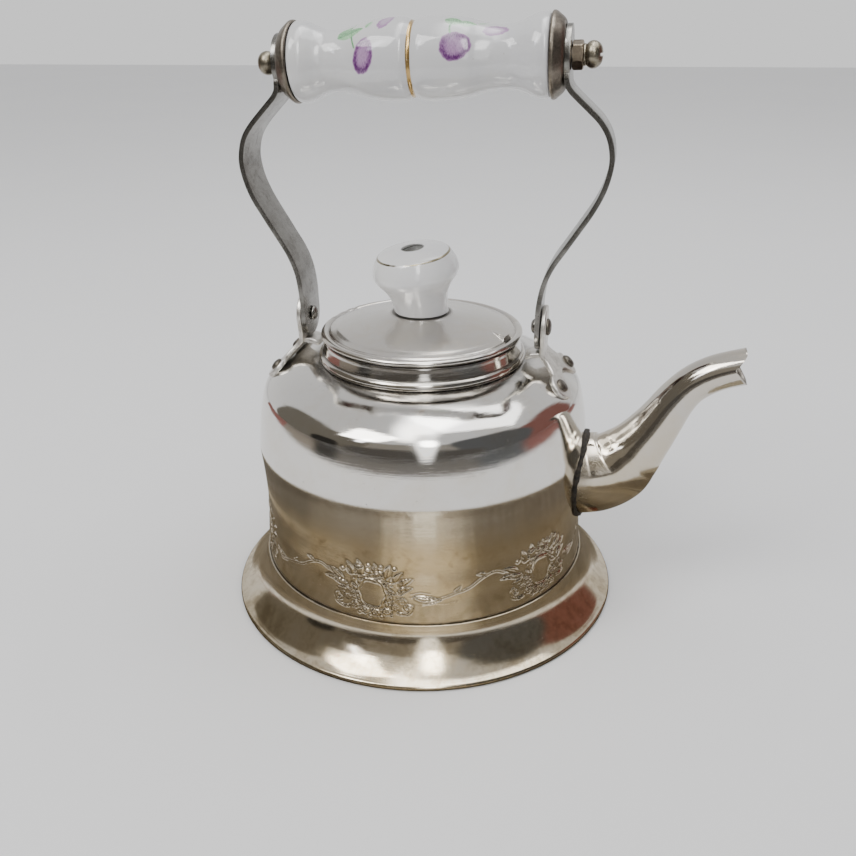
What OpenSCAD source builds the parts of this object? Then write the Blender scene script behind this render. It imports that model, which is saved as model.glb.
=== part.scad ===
// Small silver-plated teapot with a bail handle, porcelain grip and knob.
// Millimetres. +Z is up and the spout points along +X. The origin is the
// centre of the foot, on the surface that the pot stands on.

/* [Pot] */
// Radius of the pot wall just above the foot
pot_r = 57.7; // [57:0.1:58.4]
// Thickness of the spun sheet
wall = 1.0; // [0.8:0.1:1.2]
// Height of the seam between the foot skirt and the pot wall
seam_z = 16; // [15:0.5:17]
// Height of the shoulder where it meets the neck
shoulder_z = 88.5; // [88:0.1:89]
// Outer radius of the rolled foot
foot_r = 70; // [68:0.5:72]

/* [Neck and lid] */
// Outer radius of the neck band
neck_r = 34.0; // [33.5:0.1:34.2]
// Height of the neck's top edge
neck_top = 96.0; // [95.5:0.1:96.2]
// Outer radius of the lid's rolled rim
lid_r = 34.3; // [34:0.1:34.7]
// Air gap between the neck and the seated lid
lid_gap = 0.3; // [0.3:0.05:0.5]
// Rise of the lid from its rim to the knob seat
lid_rise = 7.3; // [6.9:0.1:7.7]

/* [Knob] */
// Largest radius of the porcelain knob
knob_r = 14.4; // [14:0.1:15]
// Lean of the knob towards the front, in degrees
knob_lean_front = 6; // [0:1:7]
// Lean of the knob towards the back of the pot, in degrees
knob_lean_back = 6; // [0:1:7]

/* [Handle] */
// Height of the handle's pivots
pivot_z = 100.8; // [100.6:0.1:101.2]
// Height of the grip's axis with the handle upright
grip_z = 182.8; // [180:0.2:186]
// Length of the porcelain grip
grip_len = 78.4; // [77.6:0.2:79]
// Largest radius of the porcelain grip
grip_r = 11.9; // [11.5:0.1:12.1]
// How far the grip sits off the middle, towards the spout
handle_shift = 0.9; // [0:0.1:1.2]
// How far the grip tilts up towards the spout, in degrees
handle_tilt = 1.5; // [0:0.1:2]
// How far the grip's groove sits off its middle, away from the spout
groove_shift = 1.7; // [0:0.1:2.5]
// Width of the strap
strap_w = 15; // [14:0.5:16]
// Thickness of the strap
strap_t = 1.7; // [1.5:0.1:1.8]

/* [Fasteners] */
// Radius of the pivot rivet's shank
pivot_r = 1.6; // [1.4:0.1:1.8]
// Radial running clearance of the strap on its pivot rivet
pivot_clear = 0.05; // [0.03:0.01:0.09]
// Radius of the rod through the grip
rod_r = 2.0; // [1.8:0.1:2.2]
// Width of the rod nut across its flats
nut_af = 7.4; // [7:0.1:7.6]
// Radius of the two ball nuts
ball_r = 3.85; // [3.6:0.05:4]

/* [Hidden] */
$fn = 96;
SILVER = [0.80, 0.78, 0.74];
STEEL = [0.62, 0.61, 0.58];
BRONZE = [0.45, 0.41, 0.34];
WHITE = [0.93, 0.93, 0.94];
DARK = [0.16, 0.15, 0.13];

// ---------------------------------------------------------------- helpers
function at(p, i) = p[max(0, min(len(p) - 1, i))];
// Catmull-Rom curve between b and c
function cr(a, b, c, d, t) =
    0.5 * (2 * b + (c - a) * t + (2 * a - 5 * b + 4 * c - d) * t * t
           + (3 * b - a - 3 * c + d) * t * t * t);
function smooth(p, n) = [
    for (i = [0 : len(p) - 2]) for (k = [0 : n - 1])
        cr(at(p, i - 1), p[i], p[i + 1], at(p, i + 2), k / n),
    p[len(p) - 1]
];
function dir(p, i) = let (d = at(p, i + 1) - at(p, i - 1)) d / norm(d);
// The curve moved sideways by d, to the left of its direction
function beside(p, d) = [
    for (i = [0 : len(p) - 1]) let (u = dir(p, i))
        [p[i][0] - d * u[1], p[i][1] + d * u[0]]
];
function back(p) = [for (i = [len(p) - 1 : -1 : 0]) p[i]];
// An arc of a circle as points, angles in degrees
function arc(cx, cy, r, a0, a1, n) = [
    for (k = [0 : n]) let (a = a0 + (a1 - a0) * k / n)
        [cx + r * cos(a), cy + r * sin(a)]
];
// Turns a shape drawn about +Z so that it lies about +X
module along_x() { rotate([0, 90, 0]) children(); }
module mirrored(s) { if (s < 0) mirror([1, 0, 0]) children(); else children(); }

// ------------------------------------------------------------- pot profile
// Outside of the pot wall, from its foot up over the shoulder to the mouth
wall_pts = smooth([
    [pot_r, seam_z - 1], [pot_r, seam_z + 2.5], [pot_r - 0.35, seam_z + 8],
    [pot_r - 0.8, seam_z + 15], [pot_r - 1.05, seam_z + 21],
    [pot_r - 0.85, seam_z + 29], [pot_r - 0.45, seam_z + 36],
    [pot_r + 0.15, seam_z + 43.5], [pot_r - 0.25, seam_z + 48],
    [pot_r - 0.9, seam_z + 53.5], [pot_r - 1.9, seam_z + 58.8],
    [pot_r - 3.1, shoulder_z - 9.5], [pot_r - 4.6, shoulder_z - 7.5],
    [pot_r - 7.4, shoulder_z - 5.2], [pot_r - 11, shoulder_z - 3.4],
    [neck_r + 8.8, shoulder_z - 1.9], [neck_r + 4.6, shoulder_z - 0.8],
    [neck_r + 1.8, shoulder_z - 0.15], [neck_r, shoulder_z]], 3);
wall_in = beside(wall_pts, wall);

// Everything inside the pot's outer surface
module pot_outside() {
    rotate_extrude() polygon(concat([[0, seam_z - 1]], wall_pts, [[0, shoulder_z]]));
}
// The pot's cavity
module pot_inside() {
    rotate_extrude() polygon(concat([[0, seam_z - 1]], wall_in,
        [[0, wall_in[len(wall_in) - 1][1]]]));
}

// ------------------------------------------------------------------- spout
// Rows of a route along the spout: x, z, half height across the route, half width
spout_rows = [
    [54.0, 47.6, 14.9, 12.6], [61.8, 48.9, 14.6, 11.9], [68.3, 52.1, 13.4, 10.8],
    [73.0, 57.1, 11.2, 9.6], [76.3, 61.6, 9.6, 8.7], [79.4, 66.3, 8.5, 8.0],
    [82.6, 71.8, 7.5, 7.3], [85.8, 77.6, 6.7, 6.7], [89.4, 82.6, 6.15, 6.3],
    [93.2, 86.0, 6.05, 6.2], [97.6, 88.6, 6.0, 6.2], [102.2, 90.4, 5.95, 6.2],
    [109.0, 92.4, 5.9, 6.3]
];
spout_path = smooth(spout_rows, 3);
spout_sides = 36;

// One ring of the spout's skin, grown by g
function ring(p, i, g) = let (q = [for (k = p) [k[0], k[1]]], u = dir(q, i), w = p[i])
    [for (j = [0 : spout_sides - 1]) let (a = 360 * j / spout_sides,
        h = (w[2] + g) * sin(a), y = (w[3] + g) * cos(a))
        [w[0] - h * u[1], y, w[1] + h * u[0]]];

// The spout's skin as one closed tube, grown by g
module spout_tube(p, g) {
    n = len(p);
    s = spout_sides;
    rings = [for (i = [0 : n - 1]) each ring(p, i, g)];
    skin = [for (i = [0 : n - 2]) for (j = [0 : s - 1]) let (
        a = i * s + j, b = i * s + (j + 1) % s)
        each [[a, b + s, b], [a, a + s, b + s]]];
    polyhedron(rings, concat(skin, [[for (j = [0 : s - 1]) j]],
        [[for (j = [s - 1 : -1 : 0]) (n - 1) * s + j]]), convexity = 6);
}
// The beak-shaped cut at the mouth, seen from the side
module mouth_cut() {
    translate([0, 12, 0]) rotate([90, 0, 0]) linear_extrude(24)
        polygon([[106.6, 99.5], [106.3, 97.4], [105.0, 95.6], [103.2, 93.0],
                 [104.8, 90.4], [107.9, 85.6], [108.3, 83], [116, 83], [116, 99.5]]);
}

// ----------------------------------------------------------------- bracket
bx = 41.0;          // inner face of the bracket's ear
bt = 1.5;           // thickness of the bracket's sheet
bend_z = 92.4;      // height of the bend between ear and foot plate
lobe_u = 11;        // rivet distance either side of the middle
lobe_v = 10.2;      // rivet distance down the foot plate
lobe_r = 4.6;
plate_t = 1.8;
module on_plate() { translate([bx + bt, 0, bend_z]) rotate([0, 45, 0]) children(); }
module plate_outline() {
    difference() {
        union() {
            for (s = [-1, 1]) translate([lobe_v, s * lobe_u]) circle(r = lobe_r);
            polygon([[-0.7, -6.2], [0.6, -6.2], [3.2, -7.4], [5.6, -9.6], [7.4, -13.7],
                     [13.4, -13.0], [13.4, 13.0], [7.4, 13.7], [5.6, 9.6],
                     [3.2, 7.4], [0.6, 6.2], [-0.7, 6.2]]);
        }
        translate([17.0, 0]) circle(r = 8.5);
    }
}
module ear_outline() {
    translate([pivot_z, 0]) circle(r = 7.2);
    polygon([[pivot_z, -7.2], [pivot_z - 3.5, -6.7], [bend_z - 0.4, -6.2],
             [bend_z - 0.4, 6.2], [pivot_z - 3.5, 6.7], [pivot_z, 7.2]]);
}

// ------------------------------------------------------------------- strap
strap_x = 39.9;
eye_x = 44.3;
// Turns a route point with the tilted grip; the turn fades out down the strap
function tilted(p, d, s) = let (
    a = s * handle_tilt * max(0, min(1, (p[1] - 140) / (grip_z - 18 - 140))),
    x = p[0] - d, z = p[1] - grip_z)
    [d + x * cos(a) - z * sin(a), grip_z + x * sin(a) + z * cos(a)];
// Route of one strap in side view, its upper end moved by d
function strap_pts(d, s) = smooth([for (p = [
    [strap_x, pivot_z - 9], [strap_x, pivot_z + 3], [strap_x + 0.2, pivot_z + 9],
    [41.2 + 0.1 * d, 116.5], [43.5 + 0.2 * d, 122.4], [46.9 + 0.35 * d, 128],
    [50.9 + 0.5 * d, 134.4], [54.4 + 0.65 * d, 140.2], [57.0 + 0.8 * d, 146],
    [58.4 + 0.9 * d, 152], [58.3 + d, 156.5], [57.0 + d, 161],
    [54.4 + d, grip_z - 17.9], [50.9 + d, grip_z - 14.4], [47.6 + d, grip_z - 11.3],
    [45.3 + d, grip_z - 8.9], [eye_x + d, grip_z - 6.4], [eye_x + d, grip_z],
    [eye_x + d, grip_z + 11]]) tilted(p, d, s)], 3);
eye_r = 8.6;
// Puts its children, drawn about the grip's middle, where the grip is
module at_grip(s = 1) {
    translate([s * handle_shift, 0, grip_z]) rotate([0, -s * handle_tilt, 0]) children();
}

// ------------------------------------------------------------ grip profile
half = grip_len / 2;
grip_pts = smooth([
    [0.35, grip_r - 1.1], [1.2, grip_r - 0.7], [2.6, grip_r - 0.2], [4.6, grip_r],
    [7.5, grip_r - 0.03], [10.5, grip_r - 0.2], [13.5, grip_r - 0.55],
    [16.5, grip_r - 1.1], [19, grip_r - 1.85], [21.5, grip_r - 2.45],
    [24, grip_r - 2.85], [26.4, grip_r - 2.95], [28.6, grip_r - 2.8],
    [31, grip_r - 2.05], [33.2, grip_r - 1.05], [35.2, grip_r - 0.28],
    [37.2, grip_r], [38.6, grip_r - 0.2], [half, grip_r - 0.7]], 2);

// The groove lies off the middle; the shift fades out towards the ends
function off_middle(x) = x - groove_shift * (1 - abs(x) / half);

// ================================================================== pieces
module pot_body() {
    color(SILVER) difference() {
        rotate_extrude() polygon(concat(wall_pts, back(wall_in)));
        // strainer holes behind the spout
        for (p = [[0, 0], [0, 7.4], [0, -7.4], [6.4, 3.7], [6.4, -3.7], [-6.4, 3.7],
                  [-6.4, -3.7]])
            translate([50, p[0], 48.5 + p[1]]) along_x() cylinder(r = 2.6, h = 12);
        // rivet holes
        for (s = [-1, 1]) mirrored(s) on_plate() for (t = [-1, 1])
            translate([lobe_v, t * lobe_u, -6]) cylinder(r = 1.25, h = 8);
    }
}

module neck_collar() {
    color(SILVER) rotate_extrude() polygon([
        [neck_r - 1, shoulder_z - 1.4], [neck_r - 0.15, shoulder_z - 1.4],
        [neck_r - 0.15, shoulder_z + 0.05], [neck_r + 0.8, shoulder_z + 0.06],
        [neck_r + 1.15, shoulder_z + 0.35], [neck_r + 1.3, shoulder_z + 0.9],
        [neck_r + 1.3, shoulder_z + 1.5], [neck_r + 1.05, shoulder_z + 2.15],
        [neck_r + 0.55, shoulder_z + 2.6], [neck_r + 0.1, shoulder_z + 2.8],
        [neck_r, shoulder_z + 3.0], [neck_r, neck_top - 0.3],
        [neck_r - 0.3, neck_top], [neck_r - 0.7, neck_top],
        [neck_r - 1, neck_top - 0.3]]);
}

module pot_base() {
    r = pot_r - wall - 0.05;
    color(SILVER) rotate_extrude() polygon([
        [0, seam_z + 0.6], [r - 7, seam_z + 0.6], [r - 1.6, seam_z + 1.0],
        [r - 1, seam_z + 0.4], [r - 1, seam_z - 0.8], [r, seam_z - 0.8],
        [r, seam_z + 1.2], [r - 0.9, seam_z + 2.1], [r - 7, seam_z + 1.6],
        [0, seam_z + 1.6]]);
}

skirt_pts = smooth([
    [pot_r + 0.75, seam_z + 0.9], [pot_r + 1.0, seam_z - 0.6],
    [pot_r + 1.5, seam_z - 2.8], [pot_r + 2.7, seam_z - 5.6],
    [pot_r + 4.6, seam_z - 8.4], [foot_r - 5.2, 5.1], [foot_r - 2.9, 3.2],
    [foot_r - 1.1, 2.1]], 3);
module foot_skirt() {
    under = beside(skirt_pts, -wall);
    n = len(under) - 1;
    color(SILVER) rotate_extrude() polygon(concat(
        [[pot_r + 0.03, seam_z + 0.9]], skirt_pts,
        [[foot_r - 0.35, 1.75], [foot_r - 0.05, 1.2], [foot_r, 0.7],
         [foot_r - 0.25, 0.2], [foot_r - 0.7, 0], [foot_r - 2.3, 0],
         [foot_r - 2.75, 0.25], [foot_r - 2.8, 0.8]],
        [for (i = [n - 2 : -1 : 5]) under[i]],
        [[pot_r + 0.03, seam_z - 1.6]]));
}

module spout() {
    color(SILVER) difference() {
        spout_tube(spout_path, 0);
        spout_tube([for (i = [0 : len(spout_path) - 1])
            i == 0 ? spout_path[0] + [-3, -0.5, 0, 0] :
            i == len(spout_path) - 1 ? spout_path[i] + [3, 0.8, 0, 0]
            : spout_path[i]], -wall);
        mouth_cut();
        pot_outside();
    }
}

module spout_solder() {
    color(DARK) difference() {
        intersection() {
            spout_tube([for (i = [0 : 6]) spout_path[i]], 1.0);
            rotate_extrude() polygon(concat(
                beside(wall_pts, -1.2), [[0, shoulder_z + 1], [0, seam_z - 1]]));
        }
        spout_tube([for (i = [0 : 7]) i == 0 ? spout_path[0] + [-3, -0.5, 0, 0]
            : spout_path[i]], 0.06);
        pot_outside();
    }
}

module bracket(s) {
    color(STEEL) mirrored(s) difference() {
        union() {
            // ear that carries the pivot
            translate([bx, 0, 0]) rotate([0, -90, 0]) mirror([0, 0, 1])
                linear_extrude(bt) ear_outline();
            // rounded bend
            translate([bx + bt / 2, 6.2, bend_z - 0.35]) rotate([90, 0, 0])
                cylinder(r = bt / 2, h = 12.4);
            // foot plate riveted to the shoulder
            on_plate() translate([0, 0, -plate_t]) linear_extrude(plate_t)
                plate_outline();
            // tongue that reaches in to the neck, under the strap's end
            translate([0, 4, 0]) rotate([90, 0, 0]) linear_extrude(8)
                polygon([[bx + 0.8, 92.7], [bx - 1.2, 92.7], [37.4, 92.2],
                         [36.2, 91.5], [35.7, 90.6], [36.7, 90.2], [37.6, 90.9],
                         [bx - 0.6, 91.3], [bx + 0.8, 91.2]]);
        }
        translate([bx - 1, 0, pivot_z]) along_x() cylinder(r = pivot_r, h = bt + 2);
        on_plate() for (t = [-1, 1])
            translate([lobe_v, t * lobe_u, -4]) cylinder(r = 1.25, h = 6);
        pot_outside();
    }
}
module bracket_spout_side() { bracket(1); }
module bracket_back() { bracket(-1); }

// A low domed rivet head that stands on z = 0
module rivet_head(r, h) {
    rotate_extrude() polygon(concat([[0, 0], [r - 0.15, 0], [r, 0.15]],
        [for (k = [0 : 6]) [r * cos(k * 15), 0.35 + (h - 0.35) * sin(k * 15)]]));
}
module bracket_rivets(s) {
    color(BRONZE) mirrored(s) on_plate() for (t = [-1, 1])
        translate([lobe_v, t * lobe_u, 0]) {
            rivet_head(2.4, 1.5);
            translate([0, 0, -3.4]) cylinder(r = 1.2, h = 3.5);
        }
    color(BRONZE) mirrored(s) intersection() {
        on_plate() for (t = [-1, 1])
            translate([lobe_v, t * lobe_u, -3.9]) cylinder(r = 1.9, h = 2.4);
        pot_inside();
    }
}
module bracket_rivets_spout_side() { bracket_rivets(1); }
module bracket_rivets_back() { bracket_rivets(-1); }

module pivot_rivet(s) {
    color(BRONZE) mirrored(s) translate([0, 0, pivot_z]) {
        translate([bx + bt, 0, 0]) along_x() rivet_head(2.9, 1.5);
        translate([38.0, 0, 0]) along_x() cylinder(r = pivot_r, h = bx + bt - 38.0 + 0.1);
        translate([38.8, 0, 0]) rotate([0, -90, 0]) rivet_head(2.5, 1.6);
    }
}
module pivot_rivet_spout_side() { pivot_rivet(1); }
module pivot_rivet_back() { pivot_rivet(-1); }

module strap(s) {
    w = strap_w / 2;
    route = strap_pts(s * handle_shift, s);
    eye_z = grip_z + s * eye_x * sin(handle_tilt);
    color(STEEL) mirrored(s) difference() {
        intersection() {
            translate([0, 12, 0]) rotate([90, 0, 0]) linear_extrude(24)
                polygon(concat(beside(route, strap_t / 2),
                               back(beside(route, -strap_t / 2))));
            translate([30, 0, 0]) rotate([0, -90, 0]) mirror([0, 0, 1])
                linear_extrude(40) {
                    translate([pivot_z, 0]) circle(r = w);
                    translate([eye_z, 0]) circle(r = eye_r);
                    polygon([[pivot_z, -w], [124, -w + 0.3], [148, -w + 0.1],
                             [eye_z - 15, -w], [eye_z - 9.5, -w - 0.2],
                             [eye_z - 5, -w - 0.5], [eye_z - 5, w + 0.5],
                             [eye_z - 9.5, w + 0.2], [eye_z - 15, w],
                             [148, w - 0.1], [124, w - 0.3], [pivot_z, w]]);
                }
        }
        translate([30, 0, pivot_z]) along_x()
            cylinder(r = pivot_r + pivot_clear, h = 20);
        at_grip(s) translate([40, 0, 0]) along_x() cylinder(r = rod_r + 0.02, h = 12);
    }
}
module strap_spout_side() { strap(1); }
module strap_back() { strap(-1); }

module grip() {
    prof = concat([[0, grip_r - 1.2]], grip_pts);
    n = len(prof) - 1;
    color(WHITE) at_grip() along_x() difference() {
        rotate_extrude() polygon(concat(
            [[0, half]], [for (i = [n : -1 : 0]) [prof[i][1], off_middle(prof[i][0])]],
            [for (i = [1 : n]) [prof[i][1], off_middle(-prof[i][0])]], [[0, -half]]));
        translate([0, 0, -half - 1]) cylinder(r = rod_r + 0.5, h = grip_len + 2);
    }
}

module grip_rod() {
    color(STEEL) at_grip() translate([-46.6, 0, 0]) along_x()
        cylinder(r = rod_r, h = 96.2);
}

// Dished cup washer that closes an end of the grip
module grip_cap(s) {
    e = half + 0.05;
    o = eye_x - strap_t / 2 - 0.1;
    color(BRONZE) at_grip() mirrored(s) along_x() rotate_extrude()
        polygon([[rod_r + 0.02, o - 0.8], [8.7, o - 0.8], [11.3, e + 1.0], [11.2, e],
                 [11.95, e], [12.25, e + 0.35], [12.3, e + 0.8], [12.15, e + 1.3],
                 [10.3, o - 0.7], [9.5, o - 0.15], [9.0, o], [rod_r + 0.02, o]]);
}
module grip_cap_spout_side() { grip_cap(1); }
module grip_cap_back() { grip_cap(-1); }

nut_x = eye_x + strap_t / 2 + 0.02;
module rod_nut() {
    r = nut_af / 2 / cos(30);
    color(BRONZE) at_grip() translate([nut_x, 0, 0]) along_x() difference() {
        intersection() {
            cylinder(r = r, h = 3.2, $fn = 6);
            rotate_extrude() polygon([[0, 0], [r - 0.4, 0], [r + 0.1, 0.4],
                [r + 0.1, 2.8], [r - 0.4, 3.2], [0, 3.2]]);
        }
        translate([0, 0, -1]) cylinder(r = rod_r + 0.02, h = 6);
    }
}

// Flattened ball with a short neck, from x0 outwards, bored for the rod
module ball(x0, neck, slot, r) {
    c = x0 + neck + 2.6;
    difference() {
        along_x() rotate_extrude() polygon(concat(
            [[0, x0], [2.9, x0], [3.1, x0 + 0.2], [3.1, x0 + neck]],
            [for (k = [-3 : 6]) let (a = k * 15) [r * cos(a),
                c + (a < 0 ? 2.6 : 2.9) * sin(a)]]));
        translate([x0 - 1, 0, 0]) along_x() cylinder(r = rod_r + 0.02, h = neck + 3);
        if (slot) translate([c + 1.7, -5, -0.45]) cube([4, 10, 0.9]);
    }
}
module ball_nut_spout_side() {
    color(BRONZE) at_grip() ball(nut_x + 3.22, 0.05, true, ball_r);
}
module ball_nut_back() {
    color(BRONZE) at_grip() mirror([1, 0, 0]) ball(nut_x, 1.5, false, ball_r - 0.3);
}

// ------------------------------------------------------------ lid profiles
lz = neck_top + lid_gap;      // underside of the lid's rim
seat_z = lz + lid_rise;       // top of the knob seat
lid_top = [
    [lid_r - 0.15, lz + 0.35], [lid_r, lz + 0.8], [lid_r - 0.15, lz + 1.35],
    [lid_r - 0.6, lz + 1.8], [lid_r - 1.3, lz + 2.0], [lid_r - 1.95, lz + 1.85],
    [lid_r - 2.4, lz + 1.45], [lid_r - 2.75, lz + 1.55], [lid_r - 3.3, lz + 2.0],
    [lid_r - 5, lz + 2.5], [28, lz + 3.0], [24, lz + 4.1], [20, lz + 4.95],
    [16, lz + 5.7], [13, lz + 6.3], [11.2, seat_z - 0.45], [10.2, seat_z]
];
lid_under = [
    [10.0, seat_z - 0.9], [11.0, seat_z - 1.35], [12.8, lz + 5.4], [16, lz + 4.75],
    [20, lz + 4.0], [24, lz + 3.1], [28, lz + 2.0], [31.2, lz + 0.9],
    [lid_r - 2.9, lz + 0.5], [lid_r - 2.2, lz + 0.4], [lid_r - 1.4, lz],
    [lid_r - 0.6, lz]
];
// The steam vent, near the rim on the spout side
module at_vent() { rotate([0, 0, -13]) translate([28.2, 0, 0]) children(); }

module lid_cover() {
    color(SILVER) difference() {
        union() {
            rotate_extrude() polygon(concat([[0, seat_z - 0.9]], lid_under, lid_top,
                                            [[0, seat_z]]));
            // small hood pressed up over the vent
            at_vent() intersection() {
                translate([-1.2, 0, lz + 2.75]) rotate([0, 20, 0]) translate([0, 0, -1])
                    linear_extrude(1.9) polygon([[-3.6, 0.4], [2.0, -2.7], [2.0, 2.7]]);
                translate([0, 0, lz + 2.1]) cylinder(r = 6, h = 6);
            }
        }
        translate([0, 0, lz]) cylinder(r = 2.2, h = 20);
        at_vent() translate([-1.2, 0, lz + 2.75]) rotate([0, 20, 0])
            translate([0.4, 0, -3]) linear_extrude(3.4)
                polygon([[-1.6, 0], [3.0, -2.1], [3.0, 2.1]]);
    }
}

module lid_flange() {
    r = neck_r - 1.6;
    color(SILVER) rotate_extrude() polygon([
        [r - 0.8, lz - 6.8], [r - 0.5, lz - 7.1], [r - 0.2, lz - 7.1],
        [r, lz - 6.8], [r, lz + 0.1], [r - 0.3, lz + 0.26], [r - 0.8, lz + 0.36]]);
}

// Leans its children about the middle of the knob seat
module leaning() {
    translate([0, 0, seat_z + 0.5]) rotate([knob_lean_front, -knob_lean_back, 0])
        children();
}
knob_pts = smooth([
    [9.1, -1.4], [9.1, 1], [9.25, 3], [9.6, 5.1], [10.4, 7.4], [12.0, 10.0],
    [knob_r - 0.75, 12.1], [knob_r - 0.03, 13.7], [knob_r - 0.05, 15.3],
    [knob_r - 0.55, 17.0], [knob_r - 1.4, 18.7], [12.0, 20.2], [10.4, 21.0],
    [7.4, 21.7], [3.9, 22.05]], 2);
module lid_knob() {
    color(WHITE) difference() {
        leaning() difference() {
            rotate_extrude() polygon(concat([[0, -1.4]], knob_pts, [[0, 22.1]]));
            translate([0, 0, -3]) cylinder(r = 1.7, h = 30);
            translate([0, 0, 20.8]) cylinder(r = 3.75, h = 4);
        }
        // the base is ground flat to the lid
        translate([-30, -30, seat_z + 0.5 - 20]) cube([60, 60, 20]);
    }
}

module knob_washer() {
    color(DARK) translate([0, 0, seat_z]) difference() {
        cylinder(r = 8.7, h = 0.5);
        translate([0, 0, -1]) cylinder(r = 2.2, h = 3);
    }
}

module knob_screw() {
    color(DARK) leaning() difference() {
        union() {
            translate([0, 0, -4.6]) cylinder(r = 1.5, h = 25.5);
            translate([0, 0, 20.8]) rotate_extrude() polygon(concat(
                [[0, 0], [3.7, 0]], [for (k = [0 : 6]) [3.7 * cos(k * 15),
                    0.9 + 0.75 * sin(k * 15)]]));
        }
        translate([-5, -0.4, 21.8]) cube([10, 0.8, 3]);
    }
}

module knob_nut() {
    color(STEEL) leaning() translate([0, 0, -4.3]) difference() {
        cylinder(r = 3.18, h = 2.2, $fn = 6);
        translate([0, 0, -1]) cylinder(r = 1.52, h = 5);
    }
}

pot_body();
neck_collar();
pot_base();
foot_skirt();
spout();
spout_solder();
bracket_spout_side();
bracket_back();
bracket_rivets_spout_side();
bracket_rivets_back();
pivot_rivet_spout_side();
pivot_rivet_back();
strap_spout_side();
strap_back();
grip();
grip_rod();
grip_cap_spout_side();
grip_cap_back();
rod_nut();
ball_nut_spout_side();
ball_nut_back();
lid_cover();
lid_flange();
lid_knob();
knob_washer();
knob_screw();
knob_nut();
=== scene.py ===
import math

import bmesh
import bpy
import numpy as np
from mathutils import Matrix, Vector

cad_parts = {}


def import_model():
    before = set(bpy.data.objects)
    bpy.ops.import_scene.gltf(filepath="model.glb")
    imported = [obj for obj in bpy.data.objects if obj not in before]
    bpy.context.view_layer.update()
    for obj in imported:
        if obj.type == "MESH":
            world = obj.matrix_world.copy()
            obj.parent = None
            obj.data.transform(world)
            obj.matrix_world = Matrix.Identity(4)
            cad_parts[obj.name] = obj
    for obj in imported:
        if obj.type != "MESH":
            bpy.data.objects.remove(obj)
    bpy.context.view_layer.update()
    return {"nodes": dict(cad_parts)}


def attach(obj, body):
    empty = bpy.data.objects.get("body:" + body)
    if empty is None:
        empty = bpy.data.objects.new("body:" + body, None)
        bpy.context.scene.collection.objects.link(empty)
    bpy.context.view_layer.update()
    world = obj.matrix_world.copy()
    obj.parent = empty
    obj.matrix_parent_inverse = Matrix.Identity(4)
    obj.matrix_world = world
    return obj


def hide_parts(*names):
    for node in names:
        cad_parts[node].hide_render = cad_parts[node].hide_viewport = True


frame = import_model()
NODE = frame["nodes"]
MM = 0.001

# ---------------------------------------------------------------- sizes, mm
POT_R, WALL, SEAM_Z, SHOULDER_Z, FOOT_R = 57.7, 1.0, 16.0, 88.5, 70.0
NECK_R, NECK_TOP, LID_R = 34.0, 96.0, 34.3
LZ = NECK_TOP + 0.3
SEAT_Z = LZ + 7.3
KNOB_R, LEAN_F, LEAN_B = 14.4, 6.0, 6.0
PIVOT_Z, GRIP_Z, GRIP_LEN, GRIP_R, SHIFT = 100.8, 182.8, 78.4, 11.9, 0.9
TILT, GROOVE = math.radians(1.5), 1.7
STRAP_W, STRAP_T, ROD_R, NUT_AF, BALL_R = 15.0, 1.7, 2.0, 7.4, 3.85
EYE_X, STRAP_X, EYE_R = 44.3, 39.9, 8.6
BX, BT, PLATE_T, BEND_Z = 41.0, 1.5, 1.8, 92.4


# ------------------------------------------------------------- mesh helpers
def smooth(pts, n):
    p = np.asarray(pts, float)
    out = []
    m = len(p)
    for i in range(m - 1):
        a, b, c, d = p[max(0, i - 1)], p[i], p[i + 1], p[min(m - 1, i + 2)]
        for k in range(n):
            t = k / n
            out.append(0.5 * (2 * b + (c - a) * t + (2 * a - 5 * b + 4 * c - d) * t * t
                              + (3 * b - a - 3 * c + d) * t ** 3))
    out.append(p[-1])
    return np.array(out)


def beside(p, d):
    g = np.gradient(p, axis=0)
    g /= np.linalg.norm(g, axis=1)[:, None]
    return np.stack([p[:, 0] - d * g[:, 1], p[:, 1] + d * g[:, 0]], 1)


def resample(p, step):
    s = np.concatenate([[0], np.cumsum(np.linalg.norm(np.diff(p, axis=0), axis=1))])
    n = max(2, int(round(s[-1] / step)) + 1)
    t = np.linspace(0, s[-1], n)
    return np.stack([np.interp(t, s, p[:, k]) for k in range(p.shape[1])], 1)


def new_mesh(name, v, faces, collection=None):
    """faces: a list of integer arrays, each (n, k)"""
    me = bpy.data.meshes.new(name)
    v = np.ascontiguousarray(np.asarray(v, float) * MM)
    me.vertices.add(len(v))
    me.vertices.foreach_set("co", v.ravel())
    loops = np.concatenate([np.asarray(f).ravel() for f in faces if len(f)])
    tot = np.concatenate([np.full(len(f), np.asarray(f).shape[1]) for f in faces if len(f)])
    start = np.concatenate([[0], np.cumsum(tot)[:-1]])
    me.loops.add(len(loops))
    me.loops.foreach_set("vertex_index", loops.astype(np.int32))
    me.polygons.add(len(start))
    me.polygons.foreach_set("loop_start", start.astype(np.int32))
    me.update(calc_edges=True)
    me.validate()
    ob = bpy.data.objects.new(name, me)
    bpy.context.scene.collection.objects.link(ob)
    return ob


def finish_piece(ob, body, nodes, material, sharp=40, recalc=True):
    me = ob.data
    if recalc:
        bm = bmesh.new()
        bm.from_mesh(me)
        bmesh.ops.recalc_face_normals(bm, faces=bm.faces)
        bm.to_mesh(me)
        bm.free()
    me.polygons.foreach_set("use_smooth", np.ones(len(me.polygons), bool))
    if sharp is not None:
        me.set_sharp_from_angle(angle=math.radians(sharp))
    me.update()
    me.materials.clear()
    me.materials.append(material)
    if nodes:
        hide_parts(*nodes)
    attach(ob, body)
    return ob


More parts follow.
